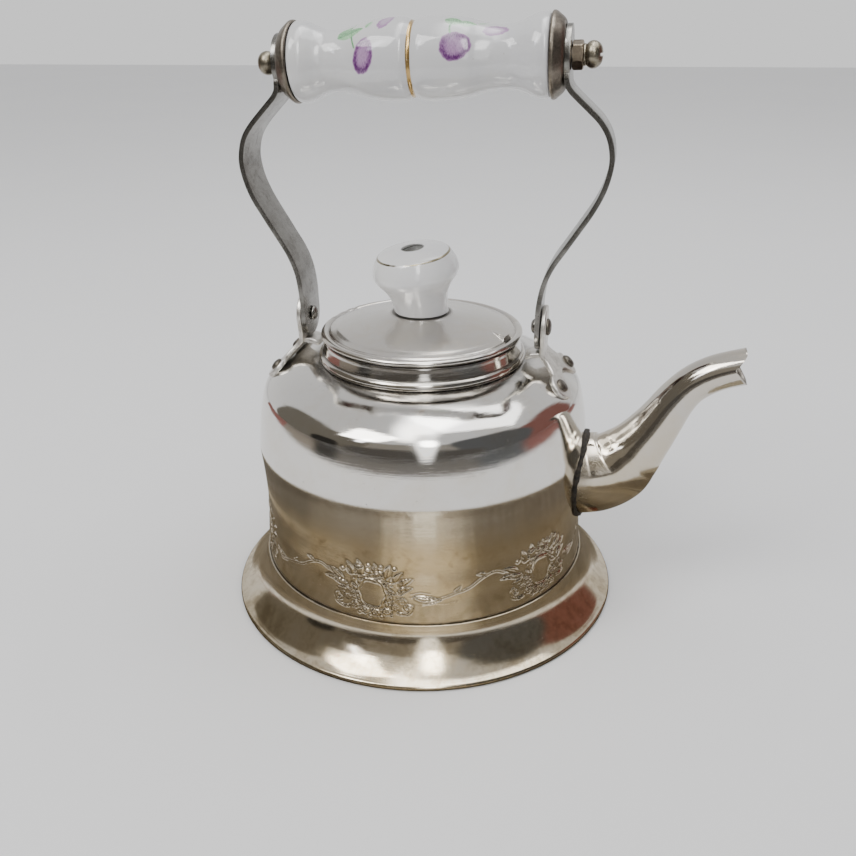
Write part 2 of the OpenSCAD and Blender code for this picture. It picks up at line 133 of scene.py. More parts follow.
def grid(nr, nc, wrap_r=False, wrap_c=True):
    r = np.arange(nr if wrap_r else nr - 1)
    c = np.arange(nc if wrap_c else nc - 1)
    R, C = np.meshgrid(r, c, indexing="ij")
    R2, C2 = (R + 1) % nr, (C + 1) % nc
    return np.stack([R * nc + C, R * nc + C2, R2 * nc + C2, R2 * nc + C], -1).reshape(-1, 4)


def lathe_data(prof, seg, disp=None):
    """prof: (r, z) rows. A row with r < 1e-6 at either end is a pole. A profile without poles is closed on itself."""
    prof = np.asarray(prof, float)
    p0, p1 = prof[0, 0] < 1e-6, prof[-1, 0] < 1e-6
    body = prof[(1 if p0 else 0):(len(prof) - 1 if p1 else len(prof))]
    th = np.arange(seg) * 2 * math.pi / seg
    R = np.repeat(body[:, :1], seg, 1)
    Z = np.repeat(body[:, 1:2], seg, 1)
    T = np.repeat(th[None, :], len(body), 0)
    if disp is not None:
        R, Z = disp(R, Z, T)
    V = np.stack([R * np.cos(T), R * np.sin(T), Z], -1).reshape(-1, 3)
    closed = not (p0 or p1)
    faces = [grid(len(body), seg, wrap_r=closed)]
    n = len(V)
    tris = []
    k = np.arange(seg)
    if p0:
        V = np.vstack([V, [[0, 0, prof[0, 1]]]])
        tris.append(np.stack([np.full(seg, n), (k + 1) % seg, k], 1))
        n += 1
    if p1:
        V = np.vstack([V, [[0, 0, prof[-1, 1]]]])
        o = (len(body) - 1) * seg
        tris.append(np.stack([np.full(seg, n), o + k, o + (k + 1) % seg], 1))
    if tris:
        faces.append(np.vstack(tris))
    return V, faces


def lathe(name, prof, seg=192, disp=None, move=None):
    V, F = lathe_data(prof, seg, disp)
    if move is not None:
        V = move(V)
    return new_mesh(name, V, F)


def joined(name, parts):
    """parts: list of (V, faces); one object"""
    VV, out, o = [], {}, 0
    for V, F in parts:
        VV.append(np.asarray(V, float))
        for f in F:
            f = np.asarray(f)
            out.setdefault(f.shape[1], []).append(f + o)
        o += len(V)
    return new_mesh(name, np.vstack(VV), [np.vstack(a) for a in out.values()])


def rounded(pts, r, n=5):
    """Rounds the corners of an open profile; r is a number or one per point"""
    p = np.asarray(pts, float)
    out = [p[0]]
    for i in range(1, len(p) - 1):
        ri = r[i] if hasattr(r, "__len__") else r
        a, b, c = p[i - 1], p[i], p[i + 1]
        la, lc = np.linalg.norm(a - b), np.linalg.norm(c - b)
        d = min(ri, 0.45 * la, 0.45 * lc)
        if d < 1e-4:
            out.append(b)
            continue
        s, e = b + (a - b) / la * d, b + (c - b) / lc * d
        for k in range(n + 1):
            t = k / n
            out.append((1 - t) ** 2 * s + 2 * t * (1 - t) * b + t * t * e)
    out.append(p[-1])
    return np.array(out)


def rounded_ring(pts, r, n=5):
    p = [tuple(a) for a in pts]
    q = rounded([p[-1]] + p + [p[0]], r, n)
    return q[1:-1]


def applied(ob):
    dg = bpy.context.evaluated_depsgraph_get()
    me = bpy.data.meshes.new_from_object(ob.evaluated_get(dg))
    ob.modifiers.clear()
    ob.data = me
    return ob


def sheet_piece(name, rows, thick, bevel, mapper, segs=3):
    """rows: list of (s, half width); a flat strip, made thick, its edges rounded, then bent by mapper(s, y, w)"""
    V, F = [], []
    for s, h in rows:
        V += [(s, -h, 0), (s, h, 0)]
    for i in range(len(rows) - 1):
        F.append((2 * i, 2 * i + 1, 2 * i + 3, 2 * i + 2))
    ob = new_mesh(name, np.array(V), [np.array(F)])
    return _thick_bend(ob, thick, bevel, mapper, segs)


def outline_piece(name, outline, cuts, thick, bevel, mapper, segs=3):
    """outline: closed list of (u, t) points of a flat sheet, cut across at the t in cuts so that it can bend"""
    me = bpy.data.meshes.new(name)
    bm = bmesh.new()
    vs = [bm.verts.new((u * MM, t * MM, 0)) for u, t in outline]
    bm.faces.new(vs)
    for t in cuts:
        bmesh.ops.bisect_plane(bm, geom=bm.verts[:] + bm.edges[:] + bm.faces[:], dist=1e-7,
                               plane_co=(0, t * MM, 0), plane_no=(0, 1, 0))
    bm.to_mesh(me)
    bm.free()
    ob = bpy.data.objects.new(name, me)
    bpy.context.scene.collection.objects.link(ob)
    return _thick_bend(ob, thick, bevel, mapper, segs)


def _thick_bend(ob, thick, bevel, mapper, segs):
    m = ob.modifiers.new("t", "SOLIDIFY")
    m.thickness = thick * MM
    m.offset = 1 if ob.data.polygons[0].normal.z < 0 else -1
    b = ob.modifiers.new("b", "BEVEL")
    b.width = bevel * MM
    b.segments = segs
    b.limit_method = "ANGLE"
    b.angle_limit = math.radians(50)
    applied(ob)
    me = ob.data
    n = len(me.vertices)
    co = np.empty(n * 3)
    me.vertices.foreach_get("co", co)
    co = co.reshape(-1, 3) / MM
    co = mapper(co[:, 0], co[:, 1], co[:, 2])
    me.vertices.foreach_set("co", np.ascontiguousarray(co * MM).ravel())
    me.update()
    return ob


def noise1(T, Z, seed, terms, lt, lz):
    """Smooth seamless noise over angle T and height Z (mm), about -1..1"""
    rng = np.random.default_rng(seed)
    out = np.zeros_like(T)
    for _ in range(terms):
        k = int(rng.integers(1, lt))
        out += np.sin(k * T + rng.uniform(0, 6.28) + Z * rng.uniform(-1, 1) * 6.28 / lz) / (1 + 0.25 * k)
    return out / math.sqrt(terms)


# ------------------------------------------------------------------ materials
class Mat:
    def __init__(self, name):
        self.m = bpy.data.materials.new(name)
        self.m.use_nodes = True
        self.t = self.m.node_tree
        self.t.nodes.clear()
        self.out = self.t.nodes.new("ShaderNodeOutputMaterial")
        self.b = self.t.nodes.new("ShaderNodeBsdfPrincipled")
        self.t.links.new(self.b.outputs[0], self.out.inputs[0])
        self._mm = None

    def put(self, sock, v):
        if isinstance(v, bpy.types.NodeSocket):
            self.t.links.new(v, sock)
        elif isinstance(v, (tuple, list)) and sock.type == "RGBA":
            sock.default_value = tuple(v) + ((1,) if len(v) == 3 else ())
        else:
            sock.default_value = v

    def set(self, **kw):
        for k, v in kw.items():
            self.put(self.b.inputs[k.replace("_", " ")], v)
        return self

    def node(self, kind, **props):
        n = self.t.nodes.new(kind)
        for k, v in props.items():
            setattr(n, k, v)
        return n

    def mm(self):
        if self._mm is None:
            tc = self.node("ShaderNodeTexCoord")
            s = self.node("ShaderNodeVectorMath", operation="SCALE")
            self.put(s.inputs[0], tc.outputs["Object"])
            s.inputs["Scale"].default_value = 1000
            self._mm = s.outputs[0]
            sp = self.node("ShaderNodeSeparateXYZ")
            self.put(sp.inputs[0], self._mm)
            self.x, self.y, self.z = sp.outputs
        return self._mm

    def math(self, op, a, b=0.0, c=None, clamp=False):
        n = self.node("ShaderNodeMath", operation=op)
        n.use_clamp = clamp
        self.put(n.inputs[0], a)
        self.put(n.inputs[1], b)
        if c is not None:
            self.put(n.inputs[2], c)
        return n.outputs[0]

    def vec(self, x, y, z):
        n = self.node("ShaderNodeCombineXYZ")
        for i, v in enumerate((x, y, z)):
            self.put(n.inputs[i], v)
        return n.outputs[0]

    def noise(self, v, scale=1.0, detail=3.0, rough=0.55, dist=0.0):
        n = self.node("ShaderNodeTexNoise")
        self.put(n.inputs["Vector"], v)
        n.inputs["Scale"].default_value = scale
        n.inputs["Detail"].default_value = detail
        n.inputs["Roughness"].default_value = rough
        n.inputs["Distortion"].default_value = dist
        return n.outputs[0]

    def voronoi(self, v, scale, feature="F1", out="Distance"):
        n = self.node("ShaderNodeTexVoronoi", feature=feature)
        self.put(n.inputs["Vector"], v)
        n.inputs["Scale"].default_value = scale
        return n.outputs[out]

    def ramp(self, f, a, b, va=0.0, vb=1.0):
        """smooth step of f from a..b to va..vb"""
        n = self.node("ShaderNodeMapRange", interpolation_type="SMOOTHSTEP")
        self.put(n.inputs["Value"], f)
        for k, v in (("From Min", a), ("From Max", b), ("To Min", va), ("To Max", vb)):
            n.inputs[k].default_value = v
        return n.outputs[0]

    def mix(self, f, a, b):
        n = self.node("ShaderNodeMix", data_type="RGBA")
        self.put(n.inputs[0], f)
        self.put(n.inputs[6], a)
        self.put(n.inputs[7], b)
        return n.outputs[2]

    def attr(self, name):
        n = self.node("ShaderNodeAttribute", attribute_name=name)
        return n.outputs["Fac"]

    def bump(self, height, dist_mm, strength=1.0, normal=None):
        n = self.node("ShaderNodeBump")
        self.put(n.inputs["Height"], height)
        n.inputs["Distance"].default_value = dist_mm * MM
        n.inputs["Strength"].default_value = strength
        if normal is not None:
            self.put(n.inputs["Normal"], normal)
        return n.outputs[0]

    def around(self):
        """angle about Z in radians"""
        self.mm()
        return self.math("ARCTAN2", self.y, self.x)


CLEAN = (0.73, 0.71, 0.675)
WARM = (0.60, 0.50, 0.335)
BROWN = (0.21, 0.155, 0.095)
DARK_GRIME_AND_SHADE = (0.030, 0.024, 0.018)


def silver(name, warm_lo, warm_hi, z_hi, z_lo, rough=0.10, axis="z", dirt_and_shade=(), attr=None, specks=0.6,
           scratch=1.0, clean=CLEAN):
    """Polished, worn silver plate. A warm tint, partly tarnish and partly painted reflection of the warm tray below,
    grows from warm_lo at z_hi to warm_hi at z_lo.
    The rings: a list of (z, reach, amount) of dark colour; grime at the joints, and painted shadow where a ring lies at
    the top of the neck under the lid or at the bottom of the foot's rim."""
    m = Mat(name)
    mm = m.mm()
    if axis == "z":
        a = m.around()
        v = m.vec(m.math("MULTIPLY", a, 9.0), m.math("MULTIPLY", m.z, 5.5),
                  m.math("MULTIPLY", m.math("POWER", m.math("ADD", m.math("MULTIPLY", m.x, m.x),
                                                            m.math("MULTIPLY", m.y, m.y)), 0.5), 5.5))
    else:
        v = m.vec(m.math("MULTIPLY", m.x, 0.5), m.math("MULTIPLY", m.y, 4.0), m.math("MULTIPLY", m.z, 0.9))
    lines = m.noise(v, 1.0, 4.0, 0.6)
    lines2 = m.noise(v, 0.33, 2.0, 0.5)
    blot = m.noise(mm, 0.055, 4.0, 0.6, 0.6)
    blot2 = m.noise(mm, 0.28, 5.0, 0.65, 0.3)
    fine = m.noise(mm, 1.6, 3.0, 0.6)
    # warm tint: partly tarnish, partly painted reflection of the warm tray
    tarnish_and_tray_reflection = m.ramp(m.z, z_lo, z_hi, 1.0, 0.0)
    tarnish_and_tray_reflection = m.math("MULTIPLY_ADD", tarnish_and_tray_reflection, warm_hi - warm_lo, warm_lo)
    wob = m.math("MULTIPLY_ADD", m.math("SUBTRACT", blot, 0.5), 0.75, tarnish_and_tray_reflection)
    wob = m.math("MULTIPLY_ADD", m.math("SUBTRACT", blot2, 0.5), 0.35, wob, clamp=True)
    col = m.mix(wob, clean, WARM)
    deep = m.ramp(m.math("ADD", wob, m.math("MULTIPLY", m.math("SUBTRACT", blot2, 0.5), 0.5)), 0.75, 1.15, 0, 0.55)
    col = m.mix(deep, col, BROWN)
    # dirty specks
    vo = m.voronoi(mm, 0.42)
    sp = m.math("MULTIPLY", m.ramp(vo, 0.10, 0.05), m.ramp(m.noise(mm, 0.11, 2.0), 0.52, 0.62))
    sp = m.math("MULTIPLY", sp, specks)
    col = m.mix(sp, col, DARK_GRIME_AND_SHADE)
    total = sp
    # dark rings: grime at the joints, and painted shadow in the gap under the lid and under the foot's rim
    for z0, reach, amt in dirt_and_shade:
        d = m.math("ABSOLUTE", m.math("SUBTRACT", m.z, z0))
        d = m.math("ADD", d, m.math("MULTIPLY", m.math("SUBTRACT", blot2, 0.5), reach * 0.9))
        k = m.ramp(d, reach, 0.15 * reach, 0, amt)
        col = m.mix(k, col, DARK_GRIME_AND_SHADE)
        total = m.math("MAXIMUM", total, k)
    # the point layer: grime, patina in the chasing, and painted shadow round the bracket feet, under the lid's rim, in
    # the vent and inside the spout
    if attr:
        k = m.attr(attr)
        col = m.mix(m.math("MULTIPLY", k, 0.93), col, DARK_GRIME_AND_SHADE)
        total = m.math("MAXIMUM", total, k)
    r = m.math("MULTIPLY_ADD", m.ramp(lines, 0.45, 0.75), 0.07 * scratch, rough)
    r = m.math("MULTIPLY_ADD", m.ramp(blot2, 0.45, 0.72), 0.06, r)
    r = m.math("MULTIPLY_ADD", wob, 0.05, r)
    r = m.math("MULTIPLY_ADD", total, 0.35, r, clamp=True)
    n = m.bump(lines, 0.012, 0.55 * scratch)
    n = m.bump(lines2, 0.02, 0.35 * scratch, n)
    n = m.bump(fine, 0.006, 0.5, n)
    m.set(Base_Color=col, Metallic=1.0, Roughness=r, Normal=n)
    return m.m


def worn_metal(name, clean, dark, amount, rough, along="z", scale=1.0, speck=0.5):
    """Plated steel or brass, brushed lengthwise, with dark oxide in the hollows"""
    m = Mat(name)
    mm = m.mm()
    k = {"z": (3.2, 3.2, 0.25), "x": (0.25, 3.2, 3.2), "n": (1.6, 1.6, 1.6)}[along]
    v = m.vec(*(m.math("MULTIPLY", c, q) for c, q in zip((m.x, m.y, m.z), k)))
    lines = m.noise(v, scale, 4.0, 0.6)
    blot = m.noise(mm, 0.22 * scale, 4.0, 0.65, 0.4)
    blot2 = m.noise(mm, 0.9 * scale, 4.0, 0.65)
    ox = m.math("MULTIPLY_ADD", m.math("SUBTRACT", blot, 0.5), 1.5, amount)
    ox = m.math("MULTIPLY_ADD", m.math("SUBTRACT", blot2, 0.5), 1.1, ox, clamp=True)
    geo = m.node("ShaderNodeNewGeometry")
    edge = m.ramp(geo.outputs["Pointiness"], 0.50, 0.56, 0.0, 0.55)
    pit = m.ramp(geo.outputs["Pointiness"], 0.50, 0.44, 0.0, 0.8)
    ox = m.math("SUBTRACT", ox, edge, clamp=True)
    ox = m.math("ADD", ox, pit, clamp=True)
    col = m.mix(ox, clean, dark)
    sp = m.math("MULTIPLY", m.ramp(m.voronoi(mm, 0.7 * scale), 0.16, 0.07), speck)
    col = m.mix(sp, col, DARK_GRIME_AND_SHADE)
    r = m.math("MULTIPLY_ADD", lines, 0.16, rough)
    r = m.math("MULTIPLY_ADD", ox, 0.16, r)
    r = m.math("MULTIPLY_ADD", sp, 0.2, r, clamp=True)
    n = m.bump(lines, 0.03, 0.6)
    n = m.bump(blot2, 0.05, 0.45, n)
    m.set(Base_Color=col, Metallic=1.0, Roughness=r, Normal=n)
    return m.m


def porcelain(name, painted=None, gilt=(0.50, 0.33, 0.12), wear=0.35, tone=1.0):
    m = Mat(name)
    mm = m.mm()
    big = m.noise(mm, 0.05, 3.0, 0.5)
    fine = m.noise(mm, 1.2, 4.0, 0.6)
    col = m.mix(m.ramp(big, 0.35, 0.65), (0.69 * tone, 0.69 * tone, 0.70 * tone),
                (0.735 * tone, 0.73 * tone, 0.72 * tone))
    sp = m.math("MULTIPLY", m.ramp(m.voronoi(mm, 0.22), 0.055, 0.03), 0.45)
    col = m.mix(sp, col, (0.35, 0.30, 0.24))
    met = 0.0
    rough = m.math("MULTIPLY_ADD", m.ramp(fine, 0.4, 0.8), 0.05, 0.07)
    if painted:
        n = m.node("ShaderNodeAttribute", attribute_name=painted)
        sep = m.node("ShaderNodeSeparateColor")
        m.put(sep.inputs[0], n.outputs["Color"])
        pur, grn, gold = sep.outputs[0], sep.outputs[1], sep.outputs[2]
        mott = m.noise(mm, 1.1, 5.0, 0.7, 0.6)
        streak = m.noise(m.vec(m.math("MULTIPLY", m.x, 2.4), m.math("MULTIPLY", m.y, 0.9),
                               m.math("MULTIPLY", m.z, 0.9)), 1.6, 3.0, 0.6, 0.4)
        pcol = m.mix(m.ramp(m.math("MULTIPLY_ADD", pur, 0.55, m.math("MULTIPLY", streak, 0.62)), 0.42, 0.86),
                     (0.40, 0.23, 0.42), (0.10, 0.022, 0.12))
        amount = m.math("MULTIPLY", m.ramp(pur, 0.04, 0.45), m.ramp(mott, 0.18, 0.42, 0.55, 1.0))
        col = m.mix(amount, col, pcol)
        gcol = m.mix(m.ramp(m.math("ADD", streak, m.math("MULTIPLY", grn, 0.4)), 0.55, 1.0), (0.33, 0.62, 0.33), (0.05, 0.22, 0.08))
        col = m.mix(m.math("MULTIPLY", m.ramp(grn, 0.05, 0.6), m.ramp(mott, 0.2, 0.5, 0.45, 0.95)), col, gcol)
        g = m.math("MULTIPLY", m.ramp(gold, 0.25, 0.65), m.ramp(mott, 0.28, 0.40, wear, 1.0))
        col = m.mix(g, col, gilt)
        met = m.math("MULTIPLY", g, 0.85)
        rough = m.math("MULTIPLY_ADD", g, 0.16, rough)
    nb = m.bump(m.noise(mm, 0.35, 2.0, 0.5), 0.03, 0.35)
    m.set(Base_Color=col, Metallic=met, Roughness=rough, Normal=nb)
    m.set(IOR=1.52, Coat_Weight=0.35, Coat_Roughness=0.03)
    return m.m


def dull(name, a, b, rough=0.7, metal=0.0, bump_mm=0.12, scale=0.6):
    m = Mat(name)
    mm = m.mm()
    n1 = m.noise(mm, scale, 5.0, 0.65)
    col = m.mix(m.ramp(n1, 0.35, 0.7), a, b)
    m.set(Base_Color=col, Metallic=metal, Roughness=m.math("MULTIPLY_ADD", n1, 0.2, rough - 0.1),
          Normal=m.bump(m.noise(mm, scale * 2.2, 4.0, 0.6), bump_mm, 0.8))
    return m.m


# The warm lower parts of the body, foot and spout are partly tarnish, partly painted reflection of the warm tray.
M_BODY = silver("silver_body", 0.06, 0.80, 55.0, 41.0, 0.050, attr="dirt_and_shade",
                dirt_and_shade=((SEAM_Z + 0.9, 1.1, 0.85), (SHOULDER_Z + 0.2, 1.3, 0.55)), specks=0.7)
# Foot: the ring at 0.6 mm is painted shadow under the rolled rim; the ring at the seam is a dark joint.
M_FOOT = silver("silver_foot", 0.74, 0.86, 16.0, 2.0, 0.06, dirt_and_shade=((SEAM_Z + 1.1, 0.5, 0.5), (0.6, 0.9, 0.55)))
# Neck: the top ring is painted shadow in the gap under the lid's rim; the lower two are grime at the shoulder joint and
# above the bead.
M_NECK = silver("silver_neck", 0.10, 0.22, 96.0, 88.0, 0.07, dirt_and_shade=((SHOULDER_Z, 0.7, 0.8), (SHOULDER_Z + 3.0, 0.6, 0.6), (NECK_TOP - 0.1, 0.55, 0.97)), clean=(0.60, 0.58, 0.55))
M_LID = silver("silver_lid", 0.08, 0.16, 104.0, 96.0, 0.15, attr="dirt_and_shade", specks=0.8, clean=(0.64, 0.62, 0.595))
M_SPOUT = silver("silver_spout", 0.20, 0.62, 86.0, 44.0, 0.06, axis="x", attr="dirt_and_shade", specks=0.5, clean=(0.60, 0.58, 0.55))
M_INNER = silver("silver_inside", 0.45, 0.6, 90.0, 20.0, 0.28, specks=0.8)
M_STRAP = worn_metal("strap_plate", (0.235, 0.227, 0.21), (0.075, 0.067, 0.055), 0.30, 0.13, "z", 1.0, 0.45)
M_BRACK = worn_metal("bracket_plate", (0.66, 0.635, 0.59), (0.22, 0.19, 0.15), 0.22, 0.27, "n", 1.0, 0.5)
M_RIVET = worn_metal("rivet_metal", (0.20, 0.18, 0.15), (0.030, 0.026, 0.021), 0.55, 0.26, "n", 2.2, 0.3)
M_NUT = worn_metal("tarnished_nickel", (0.34, 0.305, 0.235), (0.085, 0.072, 0.05), 0.42, 0.20, "n", 1.6, 0.5)
M_HEX = worn_metal("brown_nickel", (0.24, 0.20, 0.15), (0.06, 0.047, 0.034), 0.45, 0.26, "n", 1.6, 0.5)
M_CAP = worn_metal("cap_metal", (0.29, 0.255, 0.21), (0.075, 0.062, 0.048), 0.48, 0.24, "n", 1.2, 0.4)
M_STEEL = worn_metal("rod_steel", (0.5, 0.49, 0.46), (0.12, 0.10, 0.08), 0.4, 0.25, "x", 1.0, 0.4)
M_SCREW = worn_metal("screw_metal", (0.24, 0.24, 0.225), (0.05, 0.047, 0.042), 0.5, 0.30, "n", 2.0, 0.4)
# The grip's porcelain is made darker than the knob's (tone 0.84) as painted shade.
M_GRIP = porcelain("porcelain_grip", "paint", tone=0.84)
M_KNOB = porcelain("porcelain_knob", "paint", (0.27, 0.235, 0.15), 0.8)
M_SOLDER = dull("solder", (0.010, 0.009, 0.008), (0.05, 0.04, 0.03), 0.62, 0.35, 0.45, 0.7)
M_WASHER = dull("washer", (0.012, 0.010, 0.009), (0.045, 0.038, 0.030), 0.75)


# -------------------------------------------------------- chased floral band
BAND_Z0, BAND_Z1 = 16.8, 44.2
BAND_ZC, BAND_V = 27.2, 0.84
CELL = 2 * math.pi * 57.0 / 6


class Relief:
    """A height field in mm over one repeat of the band: u around, v up, both in mm from the motif's middle"""

    def __init__(self, step=0.1):
        self.step = step
        self.u = np.arange(-CELL / 2, CELL / 2, step)
        self.v = np.arange((BAND_Z0 - BAND_ZC) / BAND_V, (BAND_Z1 - BAND_ZC) / BAND_V + step, step)
        self.U, self.V = np.meshgrid(self.u, self.v)
        self.H = np.zeros_like(self.U)
        self.D = np.zeros_like(self.U)

    def window(self, cx, cy, rad):
        j0 = max(0, int((cx - rad - self.u[0]) / self.step))
        j1 = min(len(self.u), int((cx + rad - self.u[0]) / self.step) + 2)
        i0 = max(0, int((cy - rad - self.v[0]) / self.step))
        i1 = min(len(self.v), int((cy + rad - self.v[0]) / self.step) + 2)
        return slice(i0, i1), slice(j0, j1)

    def groove(self, dist, w, sl, depth=0.30, dirt_and_shade=0.9):
        g = np.exp(-(dist / w) ** 2)
        self.H[sl] -= depth * g * np.clip(1 + self.H[sl] / 0.5, 0.3, 1)
        self.D[sl] = np.maximum(self.D[sl], dirt_and_shade * np.exp(-(dist / (w * 1.05)) ** 2))

    def leaf(self, cx, cy, length, width, ang, bend=0.0, hatch=0.0, height=0.30, fat=0.75, vein=True):
        sl = self.window(cx, cy, length * 0.65 + 1.2)
        a = math.radians(ang)
        x, y = self.U[sl] - cx, self.V[sl] - cy
        p = x * math.cos(a) + y * math.sin(a)
        q = -x * math.sin(a) + y * math.cos(a)
        q = q - bend * ((p / (length / 2)) ** 2 - 0.5)
        t = np.clip((p + length / 2) / length, 0, 1)
        h = width / 2 * np.sin(math.pi * t ** fat) ** 0.75 + 1e-3
        e = h - np.abs(q)
        inside = (e > 0) & (np.abs(p) < length / 2)
        dome = height * np.sqrt(np.clip(1 - (np.abs(q) / h) ** 2, 0, 1)) * np.clip(h / (width / 2), 0, 1) ** 0.5
        if hatch:
            ridge = np.cos((p * 0.8 + np.abs(q) * 1.3) * 2 * math.pi / hatch)
            dome = dome + 0.07 * ridge * np.clip(e / 0.6, 0, 1)
        if vein:
            dome = dome - 0.15 * np.exp(-(q / 0.22) ** 2) * np.clip(e / 0.5, 0, 1)
        self.H[sl] = np.where(inside, dome, self.H[sl])
        self.D[sl] = np.where(inside, self.D[sl] * 0.2, self.D[sl])
        if vein:
            self.D[sl] = np.maximum(self.D[sl], np.where(inside, 0.45 * np.exp(-(q / 0.2) ** 2), 0))
        dist = np.where(np.abs(p) < length / 2, np.abs(e), np.hypot(np.abs(p) - length / 2, q))
        self.groove(dist, 0.27, sl)

    def boss(self, cx, cy, r, height=0.42, ring=True):
        sl = self.window(cx, cy, r + 1.2)
        d = np.hypot(self.U[sl] - cx, self.V[sl] - cy)
        self.H[sl] = np.where(d < r, height * np.sqrt(np.clip(1 - (d / r) ** 2, 0, 1)), self.H[sl])
        self.D[sl] = np.where(d < r, 0, self.D[sl])
        if ring:
            self.groove(np.abs(d - r), 0.24, sl)

    def rosette(self, cx, cy, r, petals, turn=0.0, height=0.34):
        sl = self.window(cx, cy, r + 1.2)
        x, y = self.U[sl] - cx, self.V[sl] - cy
        d, a = np.hypot(x, y), np.arctan2(y, x) + turn
        edge = r * (0.80 + 0.20 * np.abs(np.cos(a * petals / 2)))
        lobes = np.abs(np.cos(a * petals / 2))
        k = np.clip(1 - (d / edge) ** 2, 0, 1)
        h = height * np.sqrt(k) * (0.55 + 0.45 * lobes)
        self.H[sl] = np.where(d < edge, h, self.H[sl])
        self.D[sl] = np.where(d < edge, 0.5 * (1 - lobes) ** 2, self.D[sl])
        self.groove(np.abs(d - edge), 0.25, sl)
        self.boss(cx, cy, r * 0.30, height + 0.08)

    def stroke(self, pts, w=0.26, depth=0.28, ridge=0.0, dirt_and_shade=0.9, n=10):
        p = smooth(pts, n)
        cx, cy = p.mean(0)
        rad = np.max(np.abs(p - [cx, cy])) + 1.5
        sl = self.window(cx, cy, rad)
        X, Y = self.U[sl], self.V[sl]
        best = np.full(X.shape, 1e9)
        for a, b in zip(p[:-1], p[1:]):
            d = b - a
            L = d @ d + 1e-12
            t = np.clip(((X - a[0]) * d[0] + (Y - a[1]) * d[1]) / L, 0, 1)
            best = np.minimum(best, np.hypot(X - a[0] - t * d[0], Y - a[1] - t * d[1]))
        if ridge:
            self.H[sl] = np.maximum(self.H[sl], ridge * np.exp(-(best / (w * 1.3)) ** 2))
            self.groove(np.abs(best - w * 2.1), 0.2, sl, depth, dirt_and_shade)
        else:
            self.groove(best, w, sl, depth, dirt_and_shade)

    def dots(self, pts, r=0.32, depth=0.22):
        for x, y in pts:
            sl = self.window(x, y, 1.2)
            d = np.hypot(self.U[sl] - x, self.V[sl] - y)
            self.groove(d, r, sl, depth, 0.8)

    def scroll(self, cx, cy, r, turns, start, sense=1, w=0.24, tail=None):
        t = np.linspace(0, 1, 14)
        a = math.radians(start) + sense * turns * 2 * math.pi * t
        rr = r * (1 - 0.8 * t)
        pts = [(cx + q * math.cos(b), cy + q * math.sin(b)) for q, b in zip(rr, a)]
        if tail:
            pts = list(tail) + pts
        self.stroke(pts, w, 0.28, ridge=0.16, n=4)


